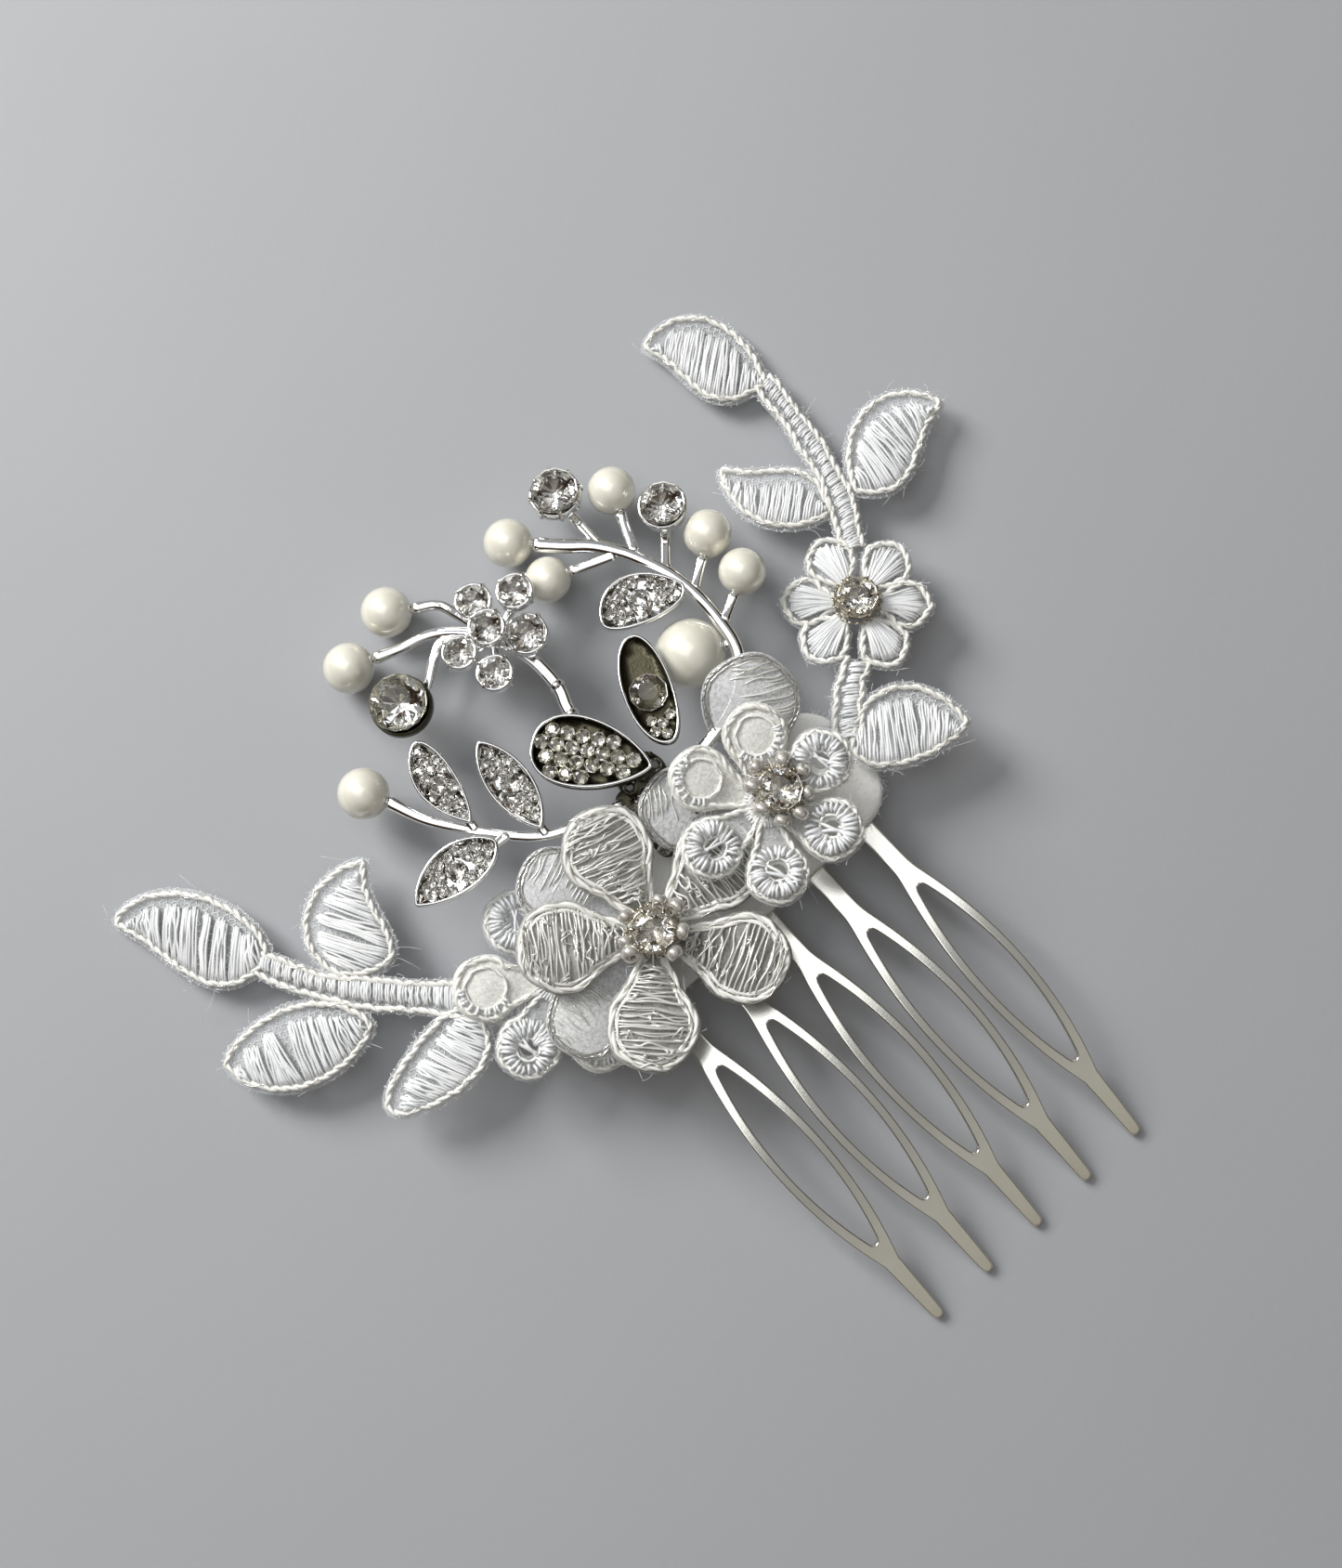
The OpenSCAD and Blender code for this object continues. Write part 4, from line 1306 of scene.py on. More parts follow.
@dataclass(frozen=True)
class UpperSpray:
    """The lace spray at the right end: four leaves, two stems and a flower."""

    leaves: tuple[Leaf, ...] = (
        Leaf((42.4, -3.7), (50.6, 8.9), Edge(3.4, 0.34, 3.5), Edge(5.7, 0.59, 1.36), Side.RIGHT),
        Leaf((26.6, -10.8), (34.5, -23.3), Edge(6.0, 0.55, 1.3), Edge(3.0, 0.3, 3.5), Side.LEFT),
        Leaf((25.3, -7.0), (33.6, 3.9), Edge(4.3, 0.5, 1.5), Edge(2.95, 0.33, 3.5), Side.RIGHT),
        Leaf((-3.0, -1.8), (-3.6, -15.1), Edge(5.9, 0.47, 1.3), Edge(2.8, 0.37, 1.3), Side.LEFT),
    )
    long_stem: tuple[Point, ...] = ((43.0, -3.6), (36.4, -6.1), (31.4, -7.6), (26.3, -8.5), (20.0, -8.2))
    short_stem: tuple[Point, ...] = ((7.0, -5.2), (3.2, -3.0), (-1.6, -1.6))
    flower: Point = (13.5, -6.9)
    angles: tuple[float, ...] = (-52.0, 15.0, 74.0, 125.0, 197.0, 253.0)
    petal_reach: float = 8.6
    petal_width: float = 5.4
    seed: int = 21

    def petal(self, lace: Lace, angle: float) -> None:
        """One petal of the spray's flower: a cord loop with satin along it.

        The loop's half width is w sin(pi s)^0.8 with s the share of the reach to the power 1.4.

        Args:
            lace: where it is collected.
            angle: its direction, in degrees.
        """
        s = np.linspace(0, 1, 30)
        half = self.petal_width / 2 * np.sin(math.pi * s**1.4) ** 0.8
        a = math.radians(angle)
        axis, across = rays(np.array(a)), rays(np.array(a + math.pi / 2))
        centre = np.array(self.flower)
        along = centre + axis * (1.9 + (self.petal_reach - 1.9) * s)[:, None]
        sides = [along + sign * half[:, None] * across for sign in (-1, 1)]
        loop = even(np.concatenate([sides[0], sides[1][-2:0:-1]]), 0.5, closed=True)
        lace.cord(with_height(loop, 0.15), closed=True)
        v = np.linspace(-1, 1, 15)
        inner = centre + axis * 2.2 + 0.4 * v[:, None] * across
        reach = (self.petal_reach - 2.2) * (0.88 - 0.2 * v**2) + lace.rng.normal(0, 0.15, 15)
        outer = centre + axis * (2.2 + reach)[:, None] + (self.petal_width * 0.36) * v[:, None] * across
        lace.fill(inner, outer, 0.55, 0.19, 0.05)
        lace.ground_loops.append(inset(even(loop, 0.9, closed=True), -0.6))

    def build(self) -> None:
        """Makes the spray."""
        lace = Lace(RIGHT_SPRAY, np.random.default_rng(self.seed))
        for leaf in self.leaves:
            lace.leaf(leaf)
        lace.stem(self.long_stem, (2.1, 2.7))
        lace.stem(self.short_stem, (2.4, 3.2))
        for angle in self.angles:
            self.petal(lace, angle)
        lace.tulle()
        lace.show("upper_spray", "upper_lace_spray", GROUND, "adhesive")


@dataclass(frozen=True)
class LeftSpray:
    """The lace spray at the left end: four leaves and a stem."""

    leaves: tuple[Leaf, ...] = (
        Leaf((24.6, 0.6), (43.2, -0.1), Edge(4.2, 0.3, 2.6), Edge(5.1, 0.54, 1.16), Side.RIGHT),
        Leaf((15.3, 1.0), (15.3, -12.0), Edge(5.5, 0.45, 1.25), Edge(5.1, 0.25, 3.5), Side.LEFT),
        Leaf((11.1, 6.2), (26.9, 13.2), Edge(4.7, 0.53, 1.45), Edge(4.2, 0.46, 1.45), Side.RIGHT),
        Leaf((0.4, 2.5), (6.4, 15.4), Edge(5.0, 0.32, 1.25), Edge(2.4, 0.6, 0.7), Side.RIGHT),
    )
    stem: tuple[Point, ...] = ((25.6, 1.4), (18.4, 2.7), (11.4, 2.6), (2.0, 1.7), (-7.5, 1.4))
    seed: int = 31

    def build(self) -> None:
        """Makes the spray."""
        lace = Lace(LEFT_SPRAY, np.random.default_rng(self.seed))
        for leaf in self.leaves:
            lace.leaf(leaf)
        lace.stem(self.stem, (2.2, 3.9))
        lace.tulle()
        lace.show("left_spray", "left_lace_spray", GROUND, "adhesive")


class PetalKind(Enum):
    """How a petal of a lace flower is worked."""

    EYELET = "radial stitches round a small open eyelet"
    MILKY = "a domed translucent film inside a cord"
    # The smoky film is grey, and on wide-pitched petals darker still with painted shade.
    BARRED = "silvery threads across a smoky film"
    SHEER = "organza inside a fine wire"


@dataclass(frozen=True)
class Petal:
    """A round petal: direction and lift in degrees, how it is worked, and its threads' pitch, which also
    sets how much painted shade darkens its film.
    """

    angle: float
    lift: float
    kind: PetalKind
    pitch: float = 0.42


@dataclass(frozen=True)
class Flower:
    """A cut lace flower: round petals on necks, turned about one centre."""

    name: str
    centre: tuple[float, float, float]
    tilt: float
    reach: float
    radius: float
    petals: tuple[Petal, ...]
    hub: float = 2.6
    foot: float = 1.0
    dome: float = 0.5
    opening: float = 0.75
    seed: int = 1
    node: str = ""

    def base(self) -> Plane:
        """The flower's own plane, tipped about the model's Y."""
        a = math.radians(self.tilt)
        return Plane(self.centre, (math.cos(a), 0.0, -math.sin(a)), (0.0, 1.0, 0.0))

    def petal_plane(self, petal: Petal) -> Plane:
        """A petal's plane: x along the petal, lifted by its lift, y across it."""
        x, y, z = self.base().axes
        a, lift = math.radians(petal.angle), math.radians(petal.lift)
        along = math.cos(lift) * (math.cos(a) * x + math.sin(a) * y) + math.sin(lift) * z
        return Plane(self.centre, tuple(along), tuple(math.cos(a) * y - math.sin(a) * x))

    def cup(self, flat: Array, height: float | Array) -> Array:
        """Flat points of a petal with the petal's dome added to a height.

        The dome is its height times (1 - q^2), with q the distance from the petal's middle as a
        share of the petal's radius, and at least -0.4.
        """
        q2 = ((flat[:, 0] - self.reach) ** 2 + flat[:, 1] ** 2) / self.radius**2
        return with_height(flat, height + self.dome * np.maximum(1 - q2, -0.4))

    def loop(self, radius: float, neck: float, step: float = 0.5) -> Array:
        """A petal's outline: most of a circle, and a neck that runs to the flower's hub."""
        turn = np.linspace(-math.pi + self.opening, math.pi - self.opening, 40)
        wave = 1 + 0.02 * np.sin(turn * 5 + self.seed)
        arc = radius * wave[:, None] * rays(turn) + (self.reach, 0)
        root = np.array([[self.hub * 0.7, neck], [self.hub * 0.7, -neck]])
        return even(np.concatenate([arc, root]), step, closed=True)

    def disc(self, radius: float) -> Array:
        """A circle round a petal's middle."""
        turn = np.linspace(0, TAU, 48, endpoint=False)
        return even(radius * rays(turn) + (self.reach, 0), 0.5, closed=True)

    @staticmethod
    def fan(lace: Lace, count: int, spread: float) -> tuple[Array, Array]:
        """Directions round a petal's middle, with random turns between them, and their angles."""
        turn = (np.arange(count) + lace.rng.normal(0, spread, count)) / count * TAU
        return rays(turn), turn

    def eyelet(self, lace: Lace, petal: Petal) -> None:
        """Thick radial stitches from the cord to an off-centre eyelet, with threads across it."""
        middle = np.array([self.reach, 0.0])
        side = lace.rng.uniform(0, TAU)
        off = 0.3 * rays(side)
        ray, turn = self.fan(lace, round(self.radius * 7.5), 0.16)
        hole = (1.25 + lace.rng.normal(0, 0.2, len(turn)) + 0.35 * (np.cos(turn - side) > 0.75))[:, None]
        outer, height = middle + ray * (self.radius - 0.4), self.dome * 0.4
        lace.fill(outer, middle + off + ray * hole, 0.6, 0.21, 0.1 + height)
        fold, turn = self.fan(lace, round(self.radius * 9), 0.2)
        fold = fold[np.cos(turn - side) < 0.1]
        inner = lace.rng.normal(0.42, 0.05, (len(fold), 1)) * self.radius
        outer = middle + fold * (self.radius - 0.5)
        lace.fill(outer, middle + fold * inner, 0.75, 0.2, 0.3 + height)
        lace.cord(self.cup(self.disc(1.3), 0.05) + (*off, 0), True, 0.17, 0.05)
        across = rays(side + np.array([0.9, 1.3])) * 1.5
        shift = np.array([[0.0, 0.0], [0.25, -0.2]])
        lace.fill(middle - across + shift, middle + across + shift, 0.35, 0.2, 0.4)

    def milky(self, lace: Lace, petal: Petal) -> None:
        """A soft inner ring on the domed film, with short stitches along one side of it."""
        lace.cord(self.cup(self.disc(self.radius * 0.66), 0.1), True, 0.2, 0.09, 4.0)
        side = lace.rng.uniform(0, TAU)
        ray, turn = self.fan(lace, 34, 0.3)
        ray = ray[np.cos(turn - side) > 0.2]
        middle = np.array([self.reach, 0.0])
        ends = middle + ray * self.radius * lace.rng.uniform(0.6, 0.72, (len(ray), 1))
        lace.fill(middle + ray * (self.radius - 0.4), ends, 0.3, 0.2, 0.1 + self.dome * 0.4)

    def barred(self, lace: Lace, petal: Petal) -> None:
        """A second cord inside the edge, and silvery threads across the petal and its neck.

        A thread's half length is the circle's half width, or the neck's nearer to the hub.
        """
        lace.cord(self.cup(self.loop(self.radius - 0.85, 0.45), 0.12), True, 0.25, 0.05, 5.0)
        start = self.reach - self.radius * math.cos(self.opening)
        x = np.arange(self.hub + 0.6, self.reach + 0.9 * self.radius, petal.pitch)
        along = np.clip((x - self.hub * 0.7) / (start - self.hub * 0.7), 0, 1)
        neck = 0.9 + (self.radius * math.sin(self.opening) - 0.9) * along
        round_part = np.sqrt(np.maximum(self.radius**2 - (x - self.reach) ** 2, 0))
        half = np.where(x < start, neck, round_part) - 0.5
        near = np.stack([x, -half], axis=1)
        far = np.stack([x + lace.rng.normal(0.5, 0.25, len(x)), half], axis=1)
        lace.fill(near, far, self.dome + 0.3, 0.13, -0.05, 14, 0.15)
        share = np.sort(lace.rng.uniform(0, 1, (2, len(x), 1)), axis=0)
        part = near + (far - near) * share
        lace.fill(part[0], part[1], self.dome * 0.7, 0.12, 0.35, 10, 0.2)

    def sheer(self, lace: Lace, petal: Petal) -> None:
        """Fine stripes across part of the organza and a second wire inside the edge."""
        lace.cord(self.cup(self.loop(self.radius - 0.6, 1.3), 0.05), True, 0.12, 0.04)
        x = np.arange(-0.8, 0.86, 0.5 / self.radius) * self.radius
        half = np.sqrt(self.radius**2 - x**2) - 0.7
        near = np.stack([self.reach + x, -half], axis=1)
        far = np.stack([self.reach + x, half * lace.rng.uniform(0.35, 0.55, len(x))], axis=1)
        lace.fill(near, far, self.dome * 0.8, 0.1, 0.0, 12, 0.09)

    def build(self) -> None:
        """Makes the flower: each petal's cord, film, stitches and fibres, then the hub."""
        rng = np.random.default_rng(self.seed)
        lace = Lace(self.base(), rng)
        marks = list(PetalKind)
        cords = {PetalKind.SHEER: (0.15, 0.03, 1.6), PetalKind.BARRED: (0.38, 0.05, 5.0)}
        for petal in self.petals:
            lace.plane = self.petal_plane(petal)
            sheer = petal.kind is PetalKind.SHEER
            edge = self.cup(self.loop(self.radius - 0.2, 0.9), 0.1)
            lace.cord(edge, True, *cords.get(petal.kind, (0.35, 0.07, 2.6)))
            border = self.loop(self.radius + (0.1 if sheer else 0.35), 1.2, 0.8)
            loops = [border] + ([self.disc(1.0)[::-1]] if petal.kind is PetalKind.EYELET else [])
            points, faces = film(loops, 0.06, 0.9, union=False)
            # Painted shade: the pitch term darkens the film of petals whose threads lie far apart, standing
            # for the shade seen through their gaps.
            tone = np.clip(rng.random(len(points)) * 0.4 + (petal.pitch - 0.36) * 2.4, 0, 1)
            bent = self.cup(points[:, :2], points[:, 2] - 0.1)
            lace.ground.add(lace.plane.place(bent), faces, tone, marks.index(petal.kind))
            lace.cut_area += area_of(border)
            a = math.radians(petal.angle)
            turned = np.array([[math.cos(a), math.sin(a)], [-math.sin(a), math.cos(a)]])
            lace.ground_loops.append(border @ turned)
            getattr(self, petal.kind.name.lower())(lace, petal)
            if not sheer:
                roots = lace.plane.place(self.cup(border, -0.1))
                lace.net.add(*fuzz(roots[::2], 0.5, 0.02, rng, lace.up, 0.2))
        lace.plane = self.base()
        turn = np.linspace(0, TAU, 40, endpoint=False)
        lace.fill(rays(turn) * self.hub, rays(turn) * 0.5, 0.3, 0.16, 0.1)
        stalk = [(0, -self.foot), (self.hub * 0.9, -self.foot), (self.hub * 0.8, -self.foot / 2)]
        stalk += [(self.hub * 0.95, -0.1), (self.hub * 0.8, 0.2), (0, 0.25)]
        show(f"{self.name}_hub", Shape().add(*revolve(stalk, 30, self.base())), GLUE)
        silky = self.petals[0].kind in (PetalKind.BARRED, PetalKind.SHEER)
        cord = WIRE_EDGE if self.petals[0].kind is PetalKind.SHEER else CORD
        lace.show(self.name, self.node or self.name, [GROUND, MILKY, SMOKE_AND_PAINTED_SHADE, SHEER], "front_pad",
                  Slot.ORGANZA, cord, SILKY if silky else SATIN)


def ring_of(count: int, start: float, lift: float, kinds: Sequence[PetalKind]) -> tuple[Petal, ...]:
    """Petals at even angles from a start angle, with their kinds in turn."""
    return tuple(Petal(start + 360 / count * k, lift, kinds[k % len(kinds)]) for k in range(count))


E, M, B, S = PetalKind.EYELET, PetalKind.MILKY, PetalKind.BARRED, PetalKind.SHEER
FLOWERS = (
    Flower("right_back_flower", (9.3, 6.5, 7.1), -4.0, 11.2, 5.6, (Petal(60, 13, S),), foot=2.2,
           dome=0.9, seed=41),
    Flower("right_low_film", (9.3, 6.5, 7.1), -4.0, 10.6, 4.7, (Petal(145, 15, S),), dome=0.6, seed=46,
           node="right_back_flower"),
    Flower("left_back_flower", (-10.7, 4.0, 8.7), 5.0, 12.1, 4.5, (Petal(113, 1, S), Petal(190, 1, S)),
           foot=3.6, dome=0.7, seed=42),
    Flower("left_round_flower", (-22.3, 7.3, 7.5), 6.0, 8.1, 3.5,
           ring_of(6, 25, 1, [E, E, M, E, M, E]), foot=2.4, seed=43),
    # Its petals of pitch 0.6 get the darkest painted shade in their film.
    Flower("left_front_flower", (-10.7, 4.0, 10.2), 5.0, 10.4, 4.9,
           (Petal(5, 4, B, 0.6), Petal(79, 6, B, 0.38), Petal(148, 5, B, 0.34), Petal(227, 6, B),
            Petal(302, 6, B, 0.6)),
           hub=3.0, foot=1.2, dome=0.6, seed=44),
    Flower("right_front_flower", (8.0, 6.2, 10.8), 0.0, 7.9, 3.4,
           ring_of(6, -3, 10, [E, M, M, E, E, E]), foot=3.2, seed=45),
)


# ---- Stones, pearls and castings ----

CUT = (
    (0.0, -0.37, 0.0), (0.3, -0.2, 0.5), (0.495, -0.03, 1.0), (0.5, 0.02, 1.5),
    (0.41, 0.1, 2.0), (0.27, 0.17, 2.5), (0.0, 0.17, 2.5),
)
FOIL_SHELL = (
    (0.0, -0.44, 0.0), (0.34, -0.26, 0.5), (0.53, -0.06, 1.0), (0.53, 0.01, 1.5),
    (0.503, 0.0, 1.5), (0.303, -0.21, 2.0), (0.0, -0.385, 2.5),
)


@dataclass
class Gems:
    """Foil-backed stones of one group, collected in two shapes."""

    rng: np.random.Generator
    glass: Shape = field(default_factory=Shape)
    foil: Shape = field(default_factory=Shape)

    def add(self, plane: Plane, d: float, count: int = 8, tip: float = 4.0) -> None:
        """A stone with its girdle on a plane, at a random turn and a slight random tip.

        The depth of the pavilion's middle ring goes by 1 + 0.32 sin(3.5 a + phase) round the stone.

        Args:
            plane: the girdle's plane.
            d: the stone's diameter.
            count: its corners.
            tip: how far it may be tipped, in degrees.
        """
        turn = Matrix.Rotation(self.rng.uniform(0, TAU), 3, "Z")
        lean = Matrix.Rotation(math.radians(self.rng.uniform(-tip, tip)), 3, "X")
        turn = np.array(lean @ turn)
        phase = self.rng.uniform(0, TAU)
        for shape, rings in ((self.glass, CUT), (self.foil, FOIL_SHELL)):
            points, faces = faceted(rings, count)
            angle, r = np.arctan2(points[:, 1], points[:, 0]), np.hypot(points[:, 0], points[:, 1])
            lower = (points[:, 2] < -0.1) & (r > 0.1)
            points[:, 2] *= 1 + 0.32 * np.sin(3.5 * angle + phase) * lower
            shape.add(plane.place(points @ turn.T * d), faces, self.rng.random())

    def show(self, name: str, nodes: Sequence[str], foil: Finish) -> None:
        """Makes the glass and foil pieces."""
        show(f"{name}_glass", self.glass, GLASS, nodes, smooth=False)
        show(f"{name}_foil", self.foil, foil, smooth=False)


@dataclass(frozen=True)
class Pearl:
    """A half-drilled pearl on a peg, with a small cap where its twig meets it."""

    node: str
    twig: tuple[float, float, float]
    hole: float = 0.5
    depth: float = 1.6

    def centre(self) -> Array:
        """The pearl's middle."""
        low, high = node_box(self.node)
        return (low + high) / 2

    def radius(self) -> float:
        """The pearl's radius: half the largest side of its box."""
        low, high = node_box(self.node)
        return float((high - low).max()) / 2

    def build(self) -> None:
        """Makes the pearl: a turned half circle with a drilled hole at the twig's side."""
        r, centre = self.radius(), self.centre()
        plane = facing(centre, BRANCH.place(np.array(self.twig)) - centre)
        rim = math.asin(self.hole / r)
        turn = np.linspace(-math.pi / 2, math.pi / 2 - rim, 36)
        profile = [(r * math.cos(a), r * math.sin(a)) for a in turn]
        profile[0] = (0.0, -r)
        top = profile[-1][1]
        profile += [(self.hole * 0.9, top - 0.1), (self.hole * 0.9, r - self.depth), (0.0, r - self.depth)]
        shape = Shape().add(*revolve(profile, 48, plane))
        show(self.node + "_nacre", shape, PEARL, [self.node])


PEARLS = (
    Pearl("arc_pearl_1", (11.4, 27.1, 0.0)),
    Pearl("arc_pearl_2", (15.1, 21.9, 0.0)),
    Pearl("arc_pearl_3", (16.9, 20.6, 0.0)),
    Pearl("arc_pearl_4", (18.9, 12.4, 0.0)),
    Pearl("arc_pearl_5", (18.8, 7.2, 0.0)),
    Pearl("large_pearl", (18.0, 4.6, -0.1)),
    Pearl("star_pearl_1", (-4.1, 31.9, 0.0)),
    Pearl("star_pearl_2", (-10.6, 30.8, 0.0)),
    Pearl("leaf_pearl", (-23.2, 17.2, 0.0)),
)


@dataclass
class Casting:
    """A cast branch on the branch plane, collected in one shape."""

    shape: Shape = field(default_factory=Shape)

    def rod(self, line: Line, d: float, flare: Point = (0.0, 0.0), groove: float = 0.22) -> None:
        """A rod with a shallow groove along its top and flares at its ends.

        Its radius is r (1 + f0 (1-s)^8 + f1 s^8) (1 - groove exp(-((a - 90) / 24)^2)), with s the
        share of its length and a the angle round it in degrees.

        Args:
            line: points (x, y, height) on the branch plane.
            d: the rod's diameter.
            flare: how much it widens at its start and at its end.
            groove: how deep the groove is, as a share of the radius.
        """
        path = spline(line, 0.4) if len(line) > 2 else even(np.array(line, float), 0.3)
        s = np.linspace(0, 1, len(path))
        swell = 1 + flare[0] * (1 - s) ** 8 + flare[1] * s**8
        swell[[0, -1]] *= 0.72
        angle = np.arange(16) / 16 * 360
        section = 1 - groove * np.exp(-(((angle - 90) / 24) ** 2)) + 0.06 * np.cos(np.radians(angle * 2))
        radius = d / 2 * swell[None, :, None] * section
        self.shape.add(*sweep(BRANCH.place(path)[None], radius, 16, BRANCH.axes[2]))

    def twig(self, start: Sequence[float], pearl: Pearl, d: float, via: Line = ()) -> None:
        """A twig that runs to a pearl and its peg.

        Args:
            start: where it leaves its stem.
            pearl: the pearl that it carries.
            d: its diameter.
            via: points that it goes through on its way.
        """
        plane = BRANCH
        local = (pearl.centre() - np.array(plane.origin)) @ plane.axes.T
        last = np.array(via[-1] if len(via) else start, float)
        away = unit(last - local)
        end = local + away * (pearl.radius() + 0.12)
        self.rod([start, *via, end], d, (0.25, 0.3), 0.16)
        peg = np.stack([end + away * 0.3, local + away * (pearl.radius() - 1.2)])
        self.shape.add(*sweep(plane.place(peg)[None], 0.42, 12, plane.axes[2]))


@dataclass(frozen=True)
class Branches:
    """The three cast branches, with their routes on the branch plane."""

    stem_d: float = 1.5
    twig_d: float = 1.2
    arc: tuple[tuple[float, ...], ...] = (
        (8.8, 29.0, 0.0), (11.4, 27.1, 0.0), (13.7, 24.9, 0.0), (15.4, 22.5, 0.0), (16.7, 20.0, 0.0),
        (18.2, 15.7, 0.0), (18.7, 11.9, 0.0), (18.6, 8.3, 0.0), (17.6, 3.6, -0.2), (14.0, -0.2, -0.6),
        (8.0, -2.0, -0.7), (2.5, -2.0, -0.6),
    )
    star: tuple[tuple[float, ...], ...] = (
        (-1.6, 3.0, 0.0), (-1.2, 11.0, 0.0), (-0.2, 14.6, 0.2), (-0.4, 19.9, 0.4), (-1.9, 23.9, 0.6),
    )
    leaf: tuple[tuple[float, ...], ...] = (
        (-21.4, 12.9, 0.0), (-18.0, 8.1, 0.0), (-15.3, 4.8, 0.0), (-12.4, 2.2, 0.0), (-8.2, 0.4, -0.2),
        (-3.6, -0.9, -0.4),
    )

    def pearl_branch(self) -> None:
        """The long arc with five small pearls, a large one and two cups."""
        cast = Casting()
        cast.twig(self.arc[-1], PEARLS[0], self.stem_d, self.arc[-2:0:-1])
        for pearl in PEARLS[1:5]:
            cast.twig(pearl.twig, pearl, self.twig_d)
        cast.twig(PEARLS[5].twig, PEARLS[5], self.twig_d)
        cast.rod([(14.4, 24.2, 0.0), (14.7, 32.0, -0.7)], self.twig_d, (0.3, 0.3), 0.3)
        cast.rod([(18.1, 16.5, 0.0), (22.8, 22.1, -0.7)], self.twig_d, (0.3, 0.3), 0.3)
        show("pearl_branch_casting", cast.shape, SILVER, ["pearl_branch", "pearl_pegs"])

    def star_branch(self) -> None:
        """The branch that carries the floret, two pearls and the large cup."""
        cast = Casting()
        cast.rod(self.star, self.stem_d, (0.0, 0.3), 0.3)
        cast.twig((-1.9, 24.2, 0.4), PEARLS[6], self.twig_d, [(-3.2, 29.5, 0.2), (-4.1, 31.9, 0.0)])
        way = [(-4.0, 27.1, 0.2), (-6.0, 29.0, 0.0), (-8.0, 30.1, 0.0), (-10.6, 30.8, 0.0)]
        cast.twig((-2.0, 24.4, 0.4), PEARLS[7], self.twig_d, way)
        way = [(-2.4, 24.4, 0.4), (-6.4, 27.9, 0.0), (-8.8, 27.0, 0.0), (-11.8, 25.1, -0.7),
               (-15.0, 24.7, -0.5)]
        cast.rod(way, self.twig_d, (0.2, 0.2), 0.2)
        for x, y in ((3.4, 25.8), (1.1, 20.9), (-4.6, 19.9), (-6.0, 24.6), (-0.9, 28.2)):
            cast.rod([(-1.9, 23.9, 0.4), (x, y, 0.3)], self.twig_d, (0.3, 0.3), 0.1)
        cast.rod([(-1.9, 23.9, 0.4), (-1.9, 23.9, 2.4)], self.stem_d, (0.0, 0.3), 0.0)
        for x, y, z in self.star[1:3]:
            collar = [(0, -0.5), (0.9, -0.35), (1.0, 0), (0.9, 0.35), (0, 0.5)]
            along = BRANCH.axes[1]
            plane = facing(BRANCH.place(np.array([x, y, z])), along)
            cast.shape.add(*revolve(collar, 20, plane))
        show("star_branch_casting", cast.shape, SILVER, ["star_branch"])

    def leaf_branch(self) -> None:
        """The branch with three leaves and a pearl."""
        cast = Casting()
        cast.twig(self.leaf[-1], PEARLS[8], self.twig_d, [*self.leaf[-2::-1], PEARLS[8].twig])
        stems = ((-18.0, 8.1), (-17.9, 9.6)), ((-12.4, 2.2), (-12.3, 4.0)), ((-15.6, 5.2), (-18.0, 5.3))
        for start, end in stems:
            cast.rod([(*start, 0.0), (*end, 0.3)], self.twig_d, (0.3, 0.2), 0.1)
        show("leaf_branch_casting", cast.shape, SILVER, ["leaf_branch"])

    def build(self) -> None:
        """Makes the branches."""
        self.pearl_branch()
        self.star_branch()
        self.leaf_branch()


